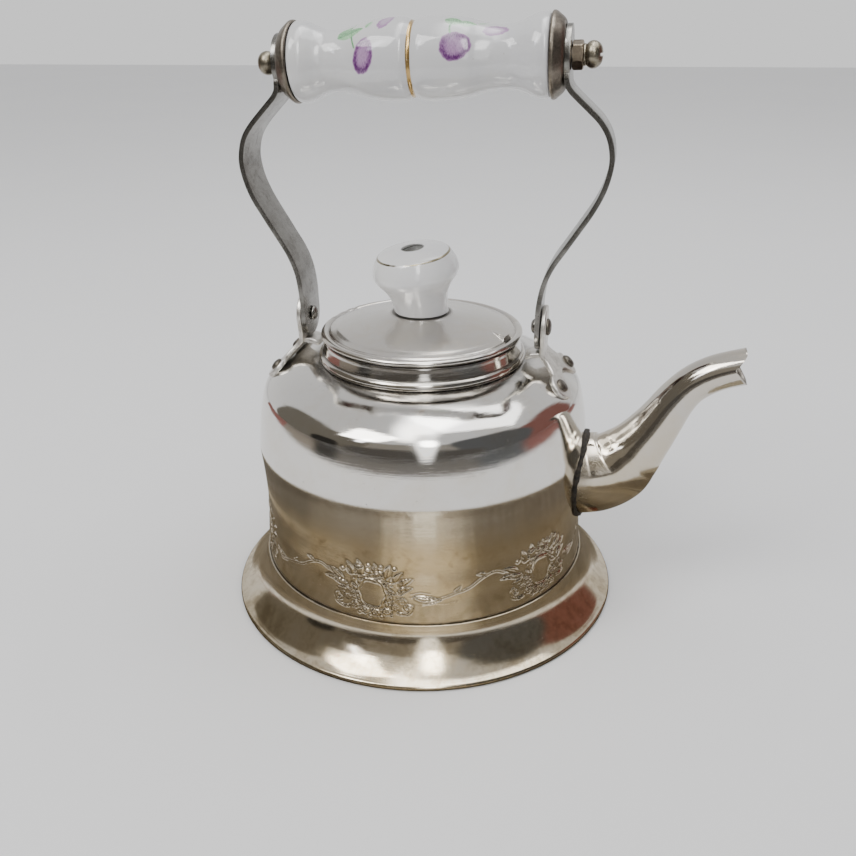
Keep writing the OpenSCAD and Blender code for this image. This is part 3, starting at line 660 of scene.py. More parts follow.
def floral():
    R = Relief()
    rng = np.random.default_rng(11)
    # thin stems that run on to the neighbours
    R.stroke([(22.4, -0.6), (25, 0.2), (27.6, 1.2), (29.9, 1.8)], 0.17, 0.16, ridge=0.10)
    R.stroke([(-29.9, 1.8), (-27.4, 3.0), (-24.6, 5.2), (-21.6, 6.9), (-18.6, 7.4), (-15.8, 6.0)], 0.18, 0.18, ridge=0.12)
    R.leaf(-23.6, 7.4, 3.4, 1.3, 155, 0.4, 0.0, 0.16)
    R.leaf(28.0, 2.9, 2.6, 1.0, 40, 0.3, 0.0, 0.14)
    R.dots([(19.0 + 0.95 * k, -3.2 + 0.22 * math.sin(k) + 0.05 * k) for k in range(10)], 0.22, 0.15)
    # long leaf to the right with a shadow line round it
    R.leaf(17.9, -0.9, 9.2, 3.3, -7, 0.5, 0.0, 0.26)
    R.leaf(17.6, -0.85, 5.8, 1.3, -7, 0.3, 0.0, 0.24, vein=False)
    R.stroke([(13.2, -3.0), (16.2, -3.4), (20.0, -2.5), (22.2, -1.6)], 0.16, 0.16)
    R.stroke([(12.8, 1.2), (15.6, 2.1), (19.0, 1.5)], 0.15, 0.13)
    # leaves to the left
    R.leaf(-12.8, 5.4, 7.4, 2.6, 148, 0.7, 0.8, 0.24)
    R.leaf(-11.4, 2.6, 6.6, 2.1, 162, -0.5, 0.8, 0.22)
    R.leaf(-14.6, 3.2, 4.6, 1.5, 176, 0.4, 0.0, 0.18)
    R.leaf(-10.2, -0.4, 5.2, 1.9, 190, -0.5, 0.7, 0.22)
    # crest of upright leaves
    R.leaf(-7.6, 9.6, 6.0, 2.7, 108, 0.2, 0.8)
    R.leaf(-4.2, 10.4, 7.2, 3.2, 96, 0.2, 0.0, 0.36)
    R.leaf(5.4, 10.3, 6.6, 2.9, 78, -0.2, 0.8)
    R.leaf(8.6, 8.4, 5.6, 2.3, 58, -0.3, 0.0)
    R.leaf(10.9, 6.2, 6.0, 2.4, 40, -0.4, 0.8)
    R.leaf(10.9, 3.2, 5.0, 2.0, 26, -0.3, 0.0)
    R.leaf(1.0, 11.3, 4.4, 1.9, 88, 0.0, 0.0)
    R.boss(-1.3, 9.5, 0.95)
    R.boss(2.9, 9.1, 1.05)
    R.boss(-1.0, 12.3, 0.6)
    R.boss(3.2, 12.2, 0.6)
    R.boss(-10.3, 8.4, 0.7)
    R.boss(7.6, 12.0, 0.6)
    # wreath round the blank
    for k, ang in enumerate(np.arange(-56, 258, 15.5)):
        ang = ang + 5.0 * math.sin(k * 3.7)
        a = math.radians(ang)
        rr = 6.2 + 0.7 * math.sin(k * 2.3)
        cx, cy = rr * math.cos(a), 0.5 + (rr + 0.4) * math.sin(a)
        R.leaf(cx, cy, 3.2 + 0.9 * math.sin(k * 1.7), 1.35 + 0.35 * math.cos(k * 2.9), ang - 55 + 24 * math.sin(k * 2.1),
               0.3 * math.sin(k), 0.7 if k % 2 else 0.0, 0.22)
    for k in range(34):
        a, q = rng.uniform(-0.9, 4.2), rng.uniform(5.6, 11.5)
        x, y = q * 1.05 * math.cos(a), 0.6 + q * math.sin(a)
        R.leaf(x, y, rng.uniform(1.6, 3.4), rng.uniform(0.7, 1.3), rng.uniform(0, 180), rng.uniform(-0.4, 0.4), 0.0,
               rng.uniform(0.14, 0.26), vein=False)
    for x, y, r, n, t in ((-5.9, -6.3, 1.55, 6, 0.2), (-2.5, -7.8, 1.7, 7, 0.5), (1.3, -8.1, 1.75, 6, 0.1),
                          (4.9, -7.3, 1.65, 7, 0.9), (7.7, -5.0, 1.6, 6, 0.4), (-8.3, -3.6, 1.4, 6, 0.7)):
        R.rosette(x, y, r, n, t)
    for x, y, r in ((-4.3, -9.3, 0.55), (-0.6, -10.1, 0.6), (3.2, -9.9, 0.55), (6.6, -8.6, 0.55), (9.3, -6.7, 0.5),
                    (-7.6, -7.0, 0.5), (8.3, -2.2, 0.55), (-9.8, -2.0, 0.5)):
        R.boss(x, y, r, 0.3)
    # scrolls on the right
    R.scroll(10.0, -2.6, 1.7, 1.3, 150, -1)
    R.scroll(11.9, -5.0, 1.5, 1.2, 30, 1, tail=[(8.6, -7.2), (10.4, -7.6), (12.4, -7.0)])
    R.scroll(-11.7, -4.6, 1.6, 1.2, 100, 1, tail=[(-8.4, -7.8), (-10.4, -7.9), (-12.6, -6.6)])
    # the blank: a rounded shield with a raised double border
    U, V = R.U, R.V
    a = np.arctan2(V - 0.1, U - 0.1)
    d = np.hypot(U - 0.1, (V - 0.1) / 1.36)
    edge = 4.15 * (1 + 0.055 * np.cos(6 * a + 0.5) + 0.03 * np.sin(3 * a))
    e = edge - d
    flat = np.clip(e / 0.5, 0, 1)
    ins = e > -0.9
    rim = 0.30 * np.exp(-((e + 0.40) / 0.30) ** 2)
    R.H = np.where(ins, 0.05 * flat + rim, R.H)
    R.D = np.where(ins, 0.0, R.D)
    for off, dep in ((-0.02, 0.20), (-0.95, 0.26)):
        g = np.exp(-((e - off) / 0.22) ** 2)
        R.H -= dep * g
        R.D = np.maximum(R.D, 0.85 * g)
    # punched ground between the ornaments
    near = np.exp(-((np.hypot(U / 1.25, V) - 8.4) / 3.2) ** 2)
    pts = rng.uniform([-13, -10.5], [13, 12.5], (420, 2))
    for x, y in pts:
        if math.hypot(x / 1.25, y) < 12.0 and math.hypot(x, y / 1.22) > 5.4:
            i = int((y - R.v[0]) / R.step)
            j = int((x - R.u[0]) / R.step)
            if abs(R.H[i, j]) < 0.03:
                R.dots([(x, y)], 0.20, 0.12)
    R.D = np.clip(R.D, 0, 1)
    return R


RELIEF = floral()
MOTIFS = np.radians(-94.4 + 60.0 * np.arange(6))


def relief_at(T, Z):
    """height and dirt for angles T and heights Z"""
    rel = (T - MOTIFS[0] + math.pi / 6) % (math.pi / 3) - math.pi / 6
    u = rel * CELL / (math.pi / 3)
    v = (Z - BAND_ZC) / BAND_V
    fi = np.clip((v - RELIEF.v[0]) / RELIEF.step, 0, len(RELIEF.v) - 1.001)
    fj = ((u - RELIEF.u[0]) / RELIEF.step) % len(RELIEF.u)
    i0, j0 = fi.astype(int), fj.astype(int) % len(RELIEF.u)
    di, dj = fi - i0, fj - np.floor(fj)
    j1 = (j0 + 1) % len(RELIEF.u)
    out = []
    for A in (RELIEF.H, RELIEF.D):
        out.append((A[i0, j0] * (1 - di) + A[i0 + 1, j0] * di) * (1 - dj)
                   + (A[i0, j1] * (1 - di) + A[i0 + 1, j1] * di) * dj)
    w = np.clip((Z - BAND_Z0) / 0.6, 0, 1) * np.clip((BAND_Z1 - Z) / 1.0, 0, 1)
    return out[0] * w, out[1] * w


# ---------------------------------------------------------------- pot body
wall_ctrl = [
    (POT_R, SEAM_Z - 1), (POT_R, SEAM_Z + 2.5), (POT_R - 0.35, SEAM_Z + 8), (POT_R - 0.8, SEAM_Z + 15),
    (POT_R - 1.05, SEAM_Z + 21), (POT_R - 0.85, SEAM_Z + 29), (POT_R - 0.45, SEAM_Z + 36),
    (POT_R + 0.15, SEAM_Z + 43.5), (POT_R - 0.25, SEAM_Z + 48), (POT_R - 0.9, SEAM_Z + 53.5),
    (POT_R - 1.9, SEAM_Z + 58.8), (POT_R - 3.1, SHOULDER_Z - 9.5), (POT_R - 4.6, SHOULDER_Z - 7.5),
    (POT_R - 7.4, SHOULDER_Z - 5.2), (POT_R - 11, SHOULDER_Z - 3.4), (NECK_R + 8.8, SHOULDER_Z - 1.9),
    (NECK_R + 4.6, SHOULDER_Z - 0.8), (NECK_R + 1.8, SHOULDER_Z - 0.15), (NECK_R, SHOULDER_Z)]
WALL_CURVE = smooth(wall_ctrl, 24)
WALL_R_OF_Z = (WALL_CURVE[:, 1], WALL_CURVE[:, 0])


def wall_radius(z):
    return np.interp(z, *WALL_R_OF_Z)


def dents(T, Z):
    """Slight waviness of the spun sheet"""
    w = noise1(T, Z, 3, 9, 7, 60.0) * 0.045 + noise1(T, Z, 8, 12, 16, 26.0) * 0.014
    return w * np.clip((SHOULDER_Z + 1 - Z) / 14, 0, 1)


def pot_body():
    c = WALL_CURVE
    low = c[(c[:, 1] >= BAND_Z0) & (c[:, 1] <= BAND_Z1)]
    zs = np.arange(BAND_Z0, BAND_Z1 + 0.01, 0.25)
    band = np.stack([np.interp(zs, c[:, 1], c[:, 0]), zs], 1)
    below = np.array([[POT_R, SEAM_Z - 1.0], [POT_R, SEAM_Z - 0.2]])
    above = resample(c[c[:, 1] > BAND_Z1 + 0.3], 1.1)
    outer = np.vstack([below, band, above])
    inner = beside(c, WALL)
    inner = resample(inner, 3.5)[::-1]
    prof = np.vstack([outer, inner])
    n_out = len(outer)
    seg = 1440

    def disp(R, Z, T):
        H, D = relief_at(T[:n_out], Z[:n_out])
        R = R.copy()
        R[:n_out] += H * 0.85 + dents(T[:n_out], Z[:n_out])
        R[n_out:] += dents(T[n_out:], Z[n_out:])
        return R, Z

    ob = lathe("pot_body_shell", prof, seg, disp)
    th = np.arange(seg) * 2 * math.pi / seg
    T = np.repeat(th[None, :], len(prof), 0)
    Z = np.repeat(prof[:, 1:2], seg, 1)
    D = np.zeros_like(T)
    D[:n_out] = relief_at(T[:n_out], Z[:n_out])[1] * (0.50 + 0.18 * noise1(T[:n_out], Z[:n_out], 15, 9, 40, 12))
    # painted shadow of the bracket feet, darkening the shoulder round them
    for s in (1, -1):
        X, Y = prof[:, :1] * np.cos(T), prof[:, :1] * np.sin(T)
        du = np.abs(np.abs(Y) - 8.0) / 7.5
        dd = np.hypot((X * s - 47.0) / 9.0, du)
        D = np.maximum(D, np.where(Z > 78, 0.75 * np.clip(1.25 - dd, 0, 1) ** 1.5, 0) * (0.5 + 0.5 * noise1(T * 3, Z, 5, 8, 30, 9)))
    D[n_out:] = 0.25
    at = ob.data.attributes.new("dirt_and_shade", "FLOAT", "POINT")
    at.data.foreach_set("value", np.clip(D, 0, 1).ravel().astype(np.float32))
    return finish_piece(ob, "pot", ["pot_body"], M_BODY, sharp=60)


pot_body()


def neck_collar():
    z, r = SHOULDER_Z, NECK_R
    prof = rounded_ring([
        (r - 1, z - 1.4), (r, z - 1.4), (r, z - 0.05), (r + 0.75, z + 0.0), (r + 1.18, z + 0.35),
        (r + 1.32, z + 0.95), (r + 1.3, z + 1.5), (r + 1.05, z + 2.15), (r + 0.55, z + 2.6),
        (r + 0.28, z + 2.8), (r + 0.12, z + 3.2), (r - 0.16, z + 4.4), (r - 0.42, z + 5.7), (r - 0.52, NECK_TOP - 0.8),
        (r - 0.66, NECK_TOP - 0.3), (r - 0.85, NECK_TOP - 0.1), (r - 1, NECK_TOP - 0.3)], 0.22, 4)

    def disp(R, Z, T):
        return R + noise1(T, Z, 21, 8, 9, 20) * 0.02, Z
    ob = lathe("neck_band", prof, 360, disp)
    return finish_piece(ob, "pot", ["neck_collar"], M_NECK, sharp=50)


neck_collar()


def foot_skirt():
    pts = smooth([
        (POT_R + 0.75, SEAM_Z + 0.9), (POT_R + 1.0, SEAM_Z - 0.6), (POT_R + 1.5, SEAM_Z - 2.8),
        (POT_R + 2.7, SEAM_Z - 5.6), (POT_R + 4.6, SEAM_Z - 8.4), (FOOT_R - 5.2, 5.1), (FOOT_R - 2.9, 3.2),
        (FOOT_R - 1.1, 2.1)], 10)
    under = beside(pts, -WALL)
    rim = rounded([tuple(pts[-1]), (FOOT_R - 0.35, 1.75), (FOOT_R - 0.05, 1.2), (FOOT_R, 0.7),
                   (FOOT_R - 0.25, 0.2), (FOOT_R - 0.7, 0), (FOOT_R - 2.3, 0), (FOOT_R - 2.75, 0.25),
                   (FOOT_R - 2.8, 0.8)], 0.3, 4)[1:]
    prof = np.vstack([[(POT_R + 0.03, SEAM_Z + 0.75), (POT_R + 0.18, SEAM_Z + 0.92), (POT_R + 0.45, SEAM_Z + 0.97)],
                      pts[1:], rim, under[5:-2][::-1], [(POT_R + 0.03, SEAM_Z - 1.6)]])

    def disp(R, Z, T):
        w = noise1(T, Z, 31, 9, 8, 40) * 0.05 + noise1(T, Z, 33, 10, 22, 12) * 0.012
        k = np.clip(Z / 4, 0, 1) * np.clip((SEAM_Z + 1 - Z) / 3, 0, 1)
        return R + w * k, Z
    ob = lathe("foot_skirt_shell", prof, 720, disp)
    return finish_piece(ob, "pot", ["foot_skirt"], M_FOOT, sharp=50)


foot_skirt()

# ------------------------------------------------------------------- spout
SPOUT_ROWS = [
    [54.0, 47.6, 14.9, 12.6], [61.8, 48.9, 14.6, 11.9], [68.3, 52.1, 13.4, 10.8], [73.0, 57.1, 11.2, 9.6],
    [76.3, 61.6, 9.6, 8.7], [79.4, 66.3, 8.5, 8.0], [82.6, 71.8, 7.5, 7.3], [85.8, 77.6, 6.7, 6.7],
    [89.4, 82.6, 6.15, 6.3], [93.2, 86.0, 6.05, 6.2], [97.6, 88.6, 6.0, 6.2], [102.2, 90.4, 5.95, 6.2],
    [109.0, 92.4, 5.9, 6.3]]
SP = smooth(SPOUT_ROWS, 16)
_g = np.gradient(SP[:, :2], axis=0)
_g /= np.linalg.norm(_g, axis=1)[:, None]
MOUTH = np.array([(103.8, 99.5), (105.2, 98.3), (106.1, 97.3), (106.2, 96.6), (105.6, 95.6), (104.5, 94.0), (103.2, 92.2), (104.5, 90.4), (106.1, 88.2),
                  (107.5, 86.2), (107.8, 83)])


def spout_point(i, a, grow):
    """i: float row of SP, a: angle round, grow: mm outwards"""
    i = np.clip(i, 0, len(SP) - 1.001)
    k = np.floor(i).astype(int)
    f = (i - k)[..., None]
    row = SP[k] * (1 - f) + SP[k + 1] * f
    d = _g[k] * (1 - f) + _g[k + 1] * f
    h = (row[..., 2] + grow) * np.sin(a)
    y = (row[..., 3] + grow) * np.cos(a)
    return np.stack([row[..., 0] - h * d[..., 1], y, row[..., 1] + h * d[..., 0]], -1)


def spout_limits(seg, grow, inset):
    """For each longitude, where it leaves the pot's wall and where the mouth cuts it"""
    a = np.arange(seg) * 2 * math.pi / seg
    ii = np.linspace(0, len(SP) - 1.01, 900)
    P = spout_point(np.repeat(ii[:, None], seg, 1), np.repeat(a[None, :], len(ii), 0), grow)
    rad = np.hypot(P[..., 0], P[..., 1]) - wall_radius(P[..., 2]) + inset
    xm = np.interp(P[..., 2], MOUTH[::-1, 1], MOUTH[::-1, 0])
    cut = P[..., 0] - xm
    start, end = np.zeros(seg), np.full(seg, ii[-1])
    for j in range(seg):
        s = np.where(rad[:, j] < 0)[0]
        start[j] = ii[s[-1]] if len(s) else 0
        e = np.where(cut[:, j] > 0)[0]
        if len(e):
            k = e[0]
            c0, c1 = cut[k - 1, j], cut[k, j]
            end[j] = ii[k - 1] + (ii[k] - ii[k - 1]) * (-c0) / (c1 - c0 + 1e-12)
    return a, start, end


def spout():
    seg, n = 144, 190
    a, s0, e0 = spout_limits(seg, 0.0, 0.35)
    _, s1, e1 = spout_limits(seg, -WALL, -0.3)
    t = np.linspace(0, 1, n)
    t = t + 0.0 * t
    A = np.repeat(a[None, :], n, 0)
    I = s0[None, :] * (1 - t[:, None]) + e0[None, :] * t[:, None]
    outer = spout_point(I, A, 0.0)
    # the lip is worn thin and rolls slightly
    e1 = np.maximum(e1, 1)
    t2 = np.linspace(0, 1, 90)
    I2 = s1[None, :] * (1 - t2[:, None]) + e1[None, :] * t2[:, None]
    grow = -WALL + 0.55 * np.clip((t2 - 0.86) / 0.14, 0, 1)
    inner = spout_point(I2, np.repeat(a[None, :], 90, 0), np.repeat(grow[:, None], seg, 1))
    # slight unevenness of hand work
    rng = np.random.default_rng(4)
    wob = np.zeros((n, seg))
    for _ in range(10):
        k, m_, p1, p2 = rng.integers(1, 4), rng.uniform(4, 16), rng.uniform(0, 6.28), rng.uniform(0, 6.28)
        wob += np.sin(k * A + p1) * np.sin(m_ * t[:, None] + p2)
    wob *= 0.035
    ctr = spout_point(I, A, -5.0)
    nrm = outer - ctr
    nrm /= np.linalg.norm(nrm, axis=2)[..., None]
    outer = outer + nrm * wob[..., None]
    lip_o, lip_i = outer[-1], inner[-1]
    mid = (lip_o + lip_i) / 2
    along = lip_o - outer[-4]
    along /= np.linalg.norm(along, axis=1)[:, None]
    roll = [lip_o * 0.85 + lip_i * 0.15 + along * 0.12, mid + along * 0.16, lip_o * 0.15 + lip_i * 0.85 + along * 0.10]
    V = np.concatenate([outer.reshape(-1, 3)] + [r.reshape(-1, 3) for r in roll] + [inner[::-1].reshape(-1, 3)])
    rows = n + 3 + 90
    ob = new_mesh("spout_shell", V, [grid(rows, seg, wrap_r=True)])
    D = np.zeros((rows, seg))
    # darker towards the root
    D[:18] = (np.clip(1 - np.arange(18) / 14.0, 0, 1) ** 1.2)[:, None] * (0.62 + 0.3 * np.sin(7 * a) * np.sin(3 * a + 1))
    # painted shade: the bore is painted dark, darkest just within the lip
    D[n:] = 0.6
    D[n:n + 12] = 0.85
    D[n - 1] = 0.35
    at = ob.data.attributes.new("dirt_and_shade", "FLOAT", "POINT")
    at.data.foreach_set("value", D.ravel().astype(np.float32))
    finish_piece(ob, "pot", ["spout"], M_SPOUT, sharp=55)
    # solder fillet along the joint
    J = spout_point(s0, a, 0.05)
    nxt = spout_point(s0 + 5, a, 0.05)
    alongs = nxt - J
    alongs /= np.linalg.norm(alongs, axis=1)[:, None]
    ctr = J.mean(0)
    rad = np.stack([J[:, 0], J[:, 1], J[:, 2] * 0], 1)
    rad /= np.linalg.norm(rad, axis=1)[:, None]
    side = J - ctr
    side -= (side * rad).sum(1)[:, None] * rad
    side /= np.linalg.norm(side, axis=1)[:, None]
    k = 9
    rng = np.random.default_rng(9)
    V = []
    ph = rng.uniform(0, 6.28, 6)
    for q in range(k):
        b = 2 * math.pi * q / k
        w = 0.98 * (1 + 0.20 * np.sin(2 * a + ph[3]) + 0.15 * np.sin(5 * a + ph[0]) + 0.15 * np.sin(11 * a + ph[1])
                    + 0.13 * np.sin(19 * a + ph[2] + 1.3 * q) + 0.09 * np.sin(31 * a + ph[4] - 2.1 * q))
        cx, cy = math.cos(b), math.sin(b)
        V.append(J + rad * 0.55 + side * 0.30 + rad * (w * cx)[:, None] + side * (w * cy * 0.62)[:, None])
    V = np.array(V)
    ob = new_mesh("spout_solder_fillet", V.reshape(-1, 3), [grid(k, seg, wrap_r=True)])
    finish_piece(ob, "pot", ["spout_solder"], M_SOLDER, sharp=None)


spout()


# ----------------------------------------------------------------- brackets
def arc_pts(cx, cy, r, a0, a1, n):
    return [(cx + r * math.cos(math.radians(a0 + (a1 - a0) * k / n)),
             cy + r * math.sin(math.radians(a0 + (a1 - a0) * k / n))) for k in range(n + 1)]


def hug(u, v):
    """How far the foot plate bends in to follow the round shoulder"""
    return 0.0048 * u ** 2 * np.clip((v - 1.0) / 5.0, 0, 1)


def ear_mapper(sign):
    R = 1.7
    T = R * math.tan(math.radians(22.5))
    L = R * math.pi / 4
    cx, cz = BX + BT + R, BEND_Z + T
    c45 = math.sqrt(0.5)

    def f(u, t, w):
        w = np.clip(w, -5, 0.0)
        s = t
        ear = s >= L / 2
        plate = s <= -L / 2
        phi = np.clip((L / 2 - s) / L, 0, 1) * math.pi / 4
        x = cx - (R - w) * np.cos(phi)
        z = cz - (R - w) * np.sin(phi)
        x = np.where(ear, BX + BT + w, x)
        z = np.where(ear, BEND_Z + T + (s - L / 2), z)
        v = -s - L / 2 + T
        q = w - hug(u, v)
        x = np.where(plate, BX + BT + v * c45 + q * c45, x)
        z = np.where(plate, BEND_Z - v * c45 + q * c45, z)
        return np.stack([sign * x, u, z], 1)
    return f


def rivet(axis_pt, axis_dir, r, h, shank, lean=0.0, seed=0, flat=0.35):
    """Domed head with its skirt on the surface at axis_pt and a shank behind it"""
    prof = [(0, h)]
    for k in range(1, 15):
        b = math.radians(90 - k * 6.2)
        prof.append((r * math.cos(b) ** 0.9, flat + (h - flat) * math.sin(b)))
    prof += [(r, flat * 0.7), (r - 0.04, 0.05), (r - 0.25, -0.12), (shank[0], -0.12), (shank[0], -shank[1]), (0, -shank[1])]
    V, F = lathe_data(prof, 48)
    rng = np.random.default_rng(seed)
    ang = np.arctan2(V[:, 1], V[:, 0])
    V[:, :2] *= (1 + 0.025 * np.sin(2 * ang + rng.uniform(0, 6)) + 0.015 * np.sin(3 * ang + rng.uniform(0, 6)))[:, None]
    V[:, 2] += np.where(V[:, 2] > flat * 0.5, 0.05 * np.sin(V[:, 0] * 1.3 + rng.uniform(0, 6)) * (V[:, 2] / h), 0)
    d = Vector(axis_dir).normalized()
    M = d.to_track_quat("Z", "Y").to_matrix()
    V = V @ np.array(M).T + np.array(axis_pt)
    return V, F


def bracket(sign, side):
    right = arc_pts(0, 8.4, 7.2, 90, -12, 18)
    right += [(6.75, 5.4), (6.45, 3.6), (6.28, 1.8), (6.22, 0.4), (6.35, -0.9), (6.8, -2.2), (7.6, -3.5), (8.7, -4.7)]
    right += arc_pts(11, -10.2, 4.6, 105, -122, 28)
    conc = arc_pts(0, -17.0, 8.5, 25, 90, 12)
    pts = right + conc
    left = [(-x, y) for x, y in pts[1:-1]][::-1]
    outline = pts + left
    f = ear_mapper(sign)
    cuts = list(np.linspace(-0.75, 0.75, 7)) + [3.0, 6.0, -3.0, -5.0]
    ob = outline_piece("bracket_" + side, outline, cuts, 1.6, 0.42, f, 4)
    # the tongue that reaches in to the neck
    tong = rounded_ring([(BX + 0.9, 92.9), (BX - 1.2, 92.75), (38.8, 92.6), (37.2, 92.1), (36.2, 91.4), (35.6, 90.5),
                         (36.6, 90.0), (37.7, 90.7), (BX - 0.6, 91.1), (BX + 0.9, 91.1)], 0.5, 4)
    ys = [-4.2, -4.0, -3.6, 3.6, 4.0, 4.2]
    sc = [0.72, 0.92, 1.0, 1.0, 0.92, 0.72]
    ctr = tong.mean(0)
    V = []
    for y, s in zip(ys, sc):
        q = ctr + (tong - ctr) * [1.0, 1.0] if s == 1.0 else ctr + (tong - ctr) * [0.97, s]
        V += [(sign * p[0], y, p[1]) for p in q]
    n = len(tong)
    quads = grid(len(ys), n)
    c0, c1 = len(V), len(V) + 1
    V += [(sign * ctr[0], ys[0], ctr[1]), (sign * ctr[0], ys[-1], ctr[1])]
    k = np.arange(n)
    tris = np.vstack([np.stack([np.full(n, c0), (k + 1) % n, k], 1),
                      np.stack([np.full(n, c1), (len(ys) - 1) * n + k, (len(ys) - 1) * n + (k + 1) % n], 1)])
    tg = new_mesh("bracket_tongue_" + side, np.array(V), [quads, tris])
    finish_piece(tg, "pot", ["bracket_" + side], M_BRACK, sharp=50)
    finish_piece(ob, "pot", ["bracket_" + side], M_BRACK, sharp=45)
    # rivets of the foot plate
    c45 = math.sqrt(0.5)
    parts = []
    for t in (-1, 1):
        q = float(hug(11.0, 10.2)) + 0.05
        p = (sign * (BX + BT + (10.2 - q) * c45), t * 11.0, BEND_Z - (10.2 + q) * c45)
        lean = (sign * c45, 0.13 * t, c45)
        parts.append(rivet(p, lean, 2.4 + 0.1 * t, 1.35 - 0.3 * (t < 0) * (sign > 0) + 0.35 * (t > 0), (1.2, 3.0), seed=5 + t + sign))
    rv = joined("bracket_rivets_" + side + "_heads", parts)
    finish_piece(rv, "pot", ["bracket_rivets_" + side], M_RIVET, sharp=45)
    # pivot rivet: outer head, shank, small inner head
    a = rivet((sign * (BX + BT), 0, PIVOT_Z), (sign, 0.03, 0.05), 2.9, 1.5, (1.58, 4.2), seed=21 + sign)
    b = rivet((sign * 38.8, 0, PIVOT_Z), (-sign, 0, 0), 2.5, 1.6, (1.5, 0.6), seed=31 + sign)
    pv = new_mesh("pivot_rivet_" + side + "_head", *a)
    finish_piece(pv, "pot", ["pivot_rivet_" + side], M_RIVET, sharp=45)
    pv = new_mesh("pivot_rivet_" + side + "_inner_head", *b)
    finish_piece(pv, "pot", ["pivot_rivet_" + side], M_STRAP, sharp=45)


bracket(1, "spout_side")
bracket(-1, "back")


# -------------------------------------------------------------------- straps
def strap_route(d, sign):
    g = GRIP_Z

    def tilted(p):
        a = sign * TILT * min(1, max(0, (p[1] - 140) / (g - 18 - 140)))
        x, z = p[0] - d, p[1] - g
        return (d + x * math.cos(a) - z * math.sin(a), g + x * math.sin(a) + z * math.cos(a))
    return smooth([tilted(p) for p in [
        (STRAP_X, PIVOT_Z - 9), (STRAP_X, PIVOT_Z + 3), (STRAP_X + 0.2, PIVOT_Z + 9), (41.2 + 0.1 * d, 116.5),
        (43.5 + 0.2 * d, 122.4), (46.9 + 0.35 * d, 128), (50.9 + 0.5 * d, 134.4), (54.4 + 0.65 * d, 140.2),
        (57.0 + 0.8 * d, 146), (58.4 + 0.9 * d, 152), (58.3 + d, 156.5), (57.0 + d, 161), (54.4 + d, g - 17.9),
        (50.9 + d, g - 14.4), (47.6 + d, g - 11.3), (45.3 + d, g - 8.9), (EYE_X + d, g - 6.4), (EYE_X + d, g),
        (EYE_X + d, g + 11)]], 24)


def strap(sign, side):
    P = strap_route(sign * SHIFT, sign)
    eye_z = GRIP_Z + sign * EYE_X * math.sin(TILT)
    s = np.concatenate([[0], np.cumsum(np.linalg.norm(np.diff(P, axis=0), axis=1))])
    g = np.gradient(P, s, axis=0)
    # soften the tangent a little so that the sheet bends smoothly
    k = np.exp(-np.linspace(-2, 2, 17) ** 2)
    k /= k.sum()
    gs = np.stack([np.convolve(np.pad(g[:, i], 8, "edge"), k, "valid") for i in (0, 1)], 1)
    gs /= np.linalg.norm(gs, axis=1)[:, None]
    s_pivot = np.interp(PIVOT_Z, P[:, 1], s)
    s_eye = np.interp(eye_z, P[:, 1], s)
    w = STRAP_W / 2
    rows = []
    for q in np.linspace(-90, 0, 16):
        rows.append((s_pivot + w * math.sin(math.radians(q)), max(0.25, w * math.cos(math.radians(q)))))
    s_a, s_b = s_pivot + 0.6, s_eye - EYE_R * 0.55
    for q in np.arange(s_a, s_b, 0.9):
        z = np.interp(q, s, P[:, 1])
        h = np.interp(z, [PIVOT_Z, 110, 124, 148, eye_z - 15, eye_z - 9.5, eye_z - 5],
                      [w, w - 0.1, w - 0.3, w - 0.1, w, w + 0.2, w + 0.5])
        rows.append((q, h))
    e0 = math.degrees(math.asin(-0.5))
    for q in np.linspace(e0, 90, 22):
        rows.append((s_eye + EYE_R * math.sin(math.radians(q)), max(0.25, EYE_R * math.cos(math.radians(q)))))
    # ease the step where the sides run into the eye
    rows = np.array(rows)
    hh = rows[:, 1].copy()
    for i in range(18, len(rows) - 24):
        hh[i] = rows[max(0, i - 2):i + 3, 1].mean()
    rng = np.random.default_rng(40 + sign)
    wave = 0.06 * np.sin(rows[:, 0] * 0.21 + rng.uniform(0, 6)) + 0.04 * np.sin(rows[:, 0] * 0.57 + rng.uniform(0, 6))
    hh = np.maximum(0.25, hh + wave * np.clip(hh / w, 0, 1))
    rows[:, 1] = hh

    def f(q, y, ww):
        x0, z0 = np.interp(q, s, P[:, 0]), np.interp(q, s, P[:, 1])
        tx, tz = np.interp(q, s, gs[:, 0]), np.interp(q, s, gs[:, 1])
        # outward normal of the route is +x side: (tz, -tx)
        # a faint crown across the strap
        crown = -0.10 * (y / w) ** 2
        off = ww + STRAP_T / 2 + crown * np.where(ww > -STRAP_T / 2, 1, 0.4)
        return np.stack([sign * (x0 + tz * off), y, z0 - tx * off], 1)

    ob = sheet_piece("strap_" + side + "_bar", [tuple(r) for r in rows], STRAP_T - 0.06, 0.45, f, 4)
    return finish_piece(ob, "handle", ["strap_" + side], M_STRAP, sharp=45)


strap(1, "spout_side")
strap(-1, "back")


# ---------------------------------------------------------------------- grip
def at_grip(x, y, z):
    """From the grip's own frame, X along its axis, to the pot's"""
    c, t = math.cos(TILT), math.sin(TILT)
    return np.stack([SHIFT + x * c - z * t, y, GRIP_Z + x * t + z * c], 1)


def to_x(V):
    """a shape drawn about +Z, laid along the grip's axis"""
    return at_grip(V[:, 2], V[:, 1], -V[:, 0])


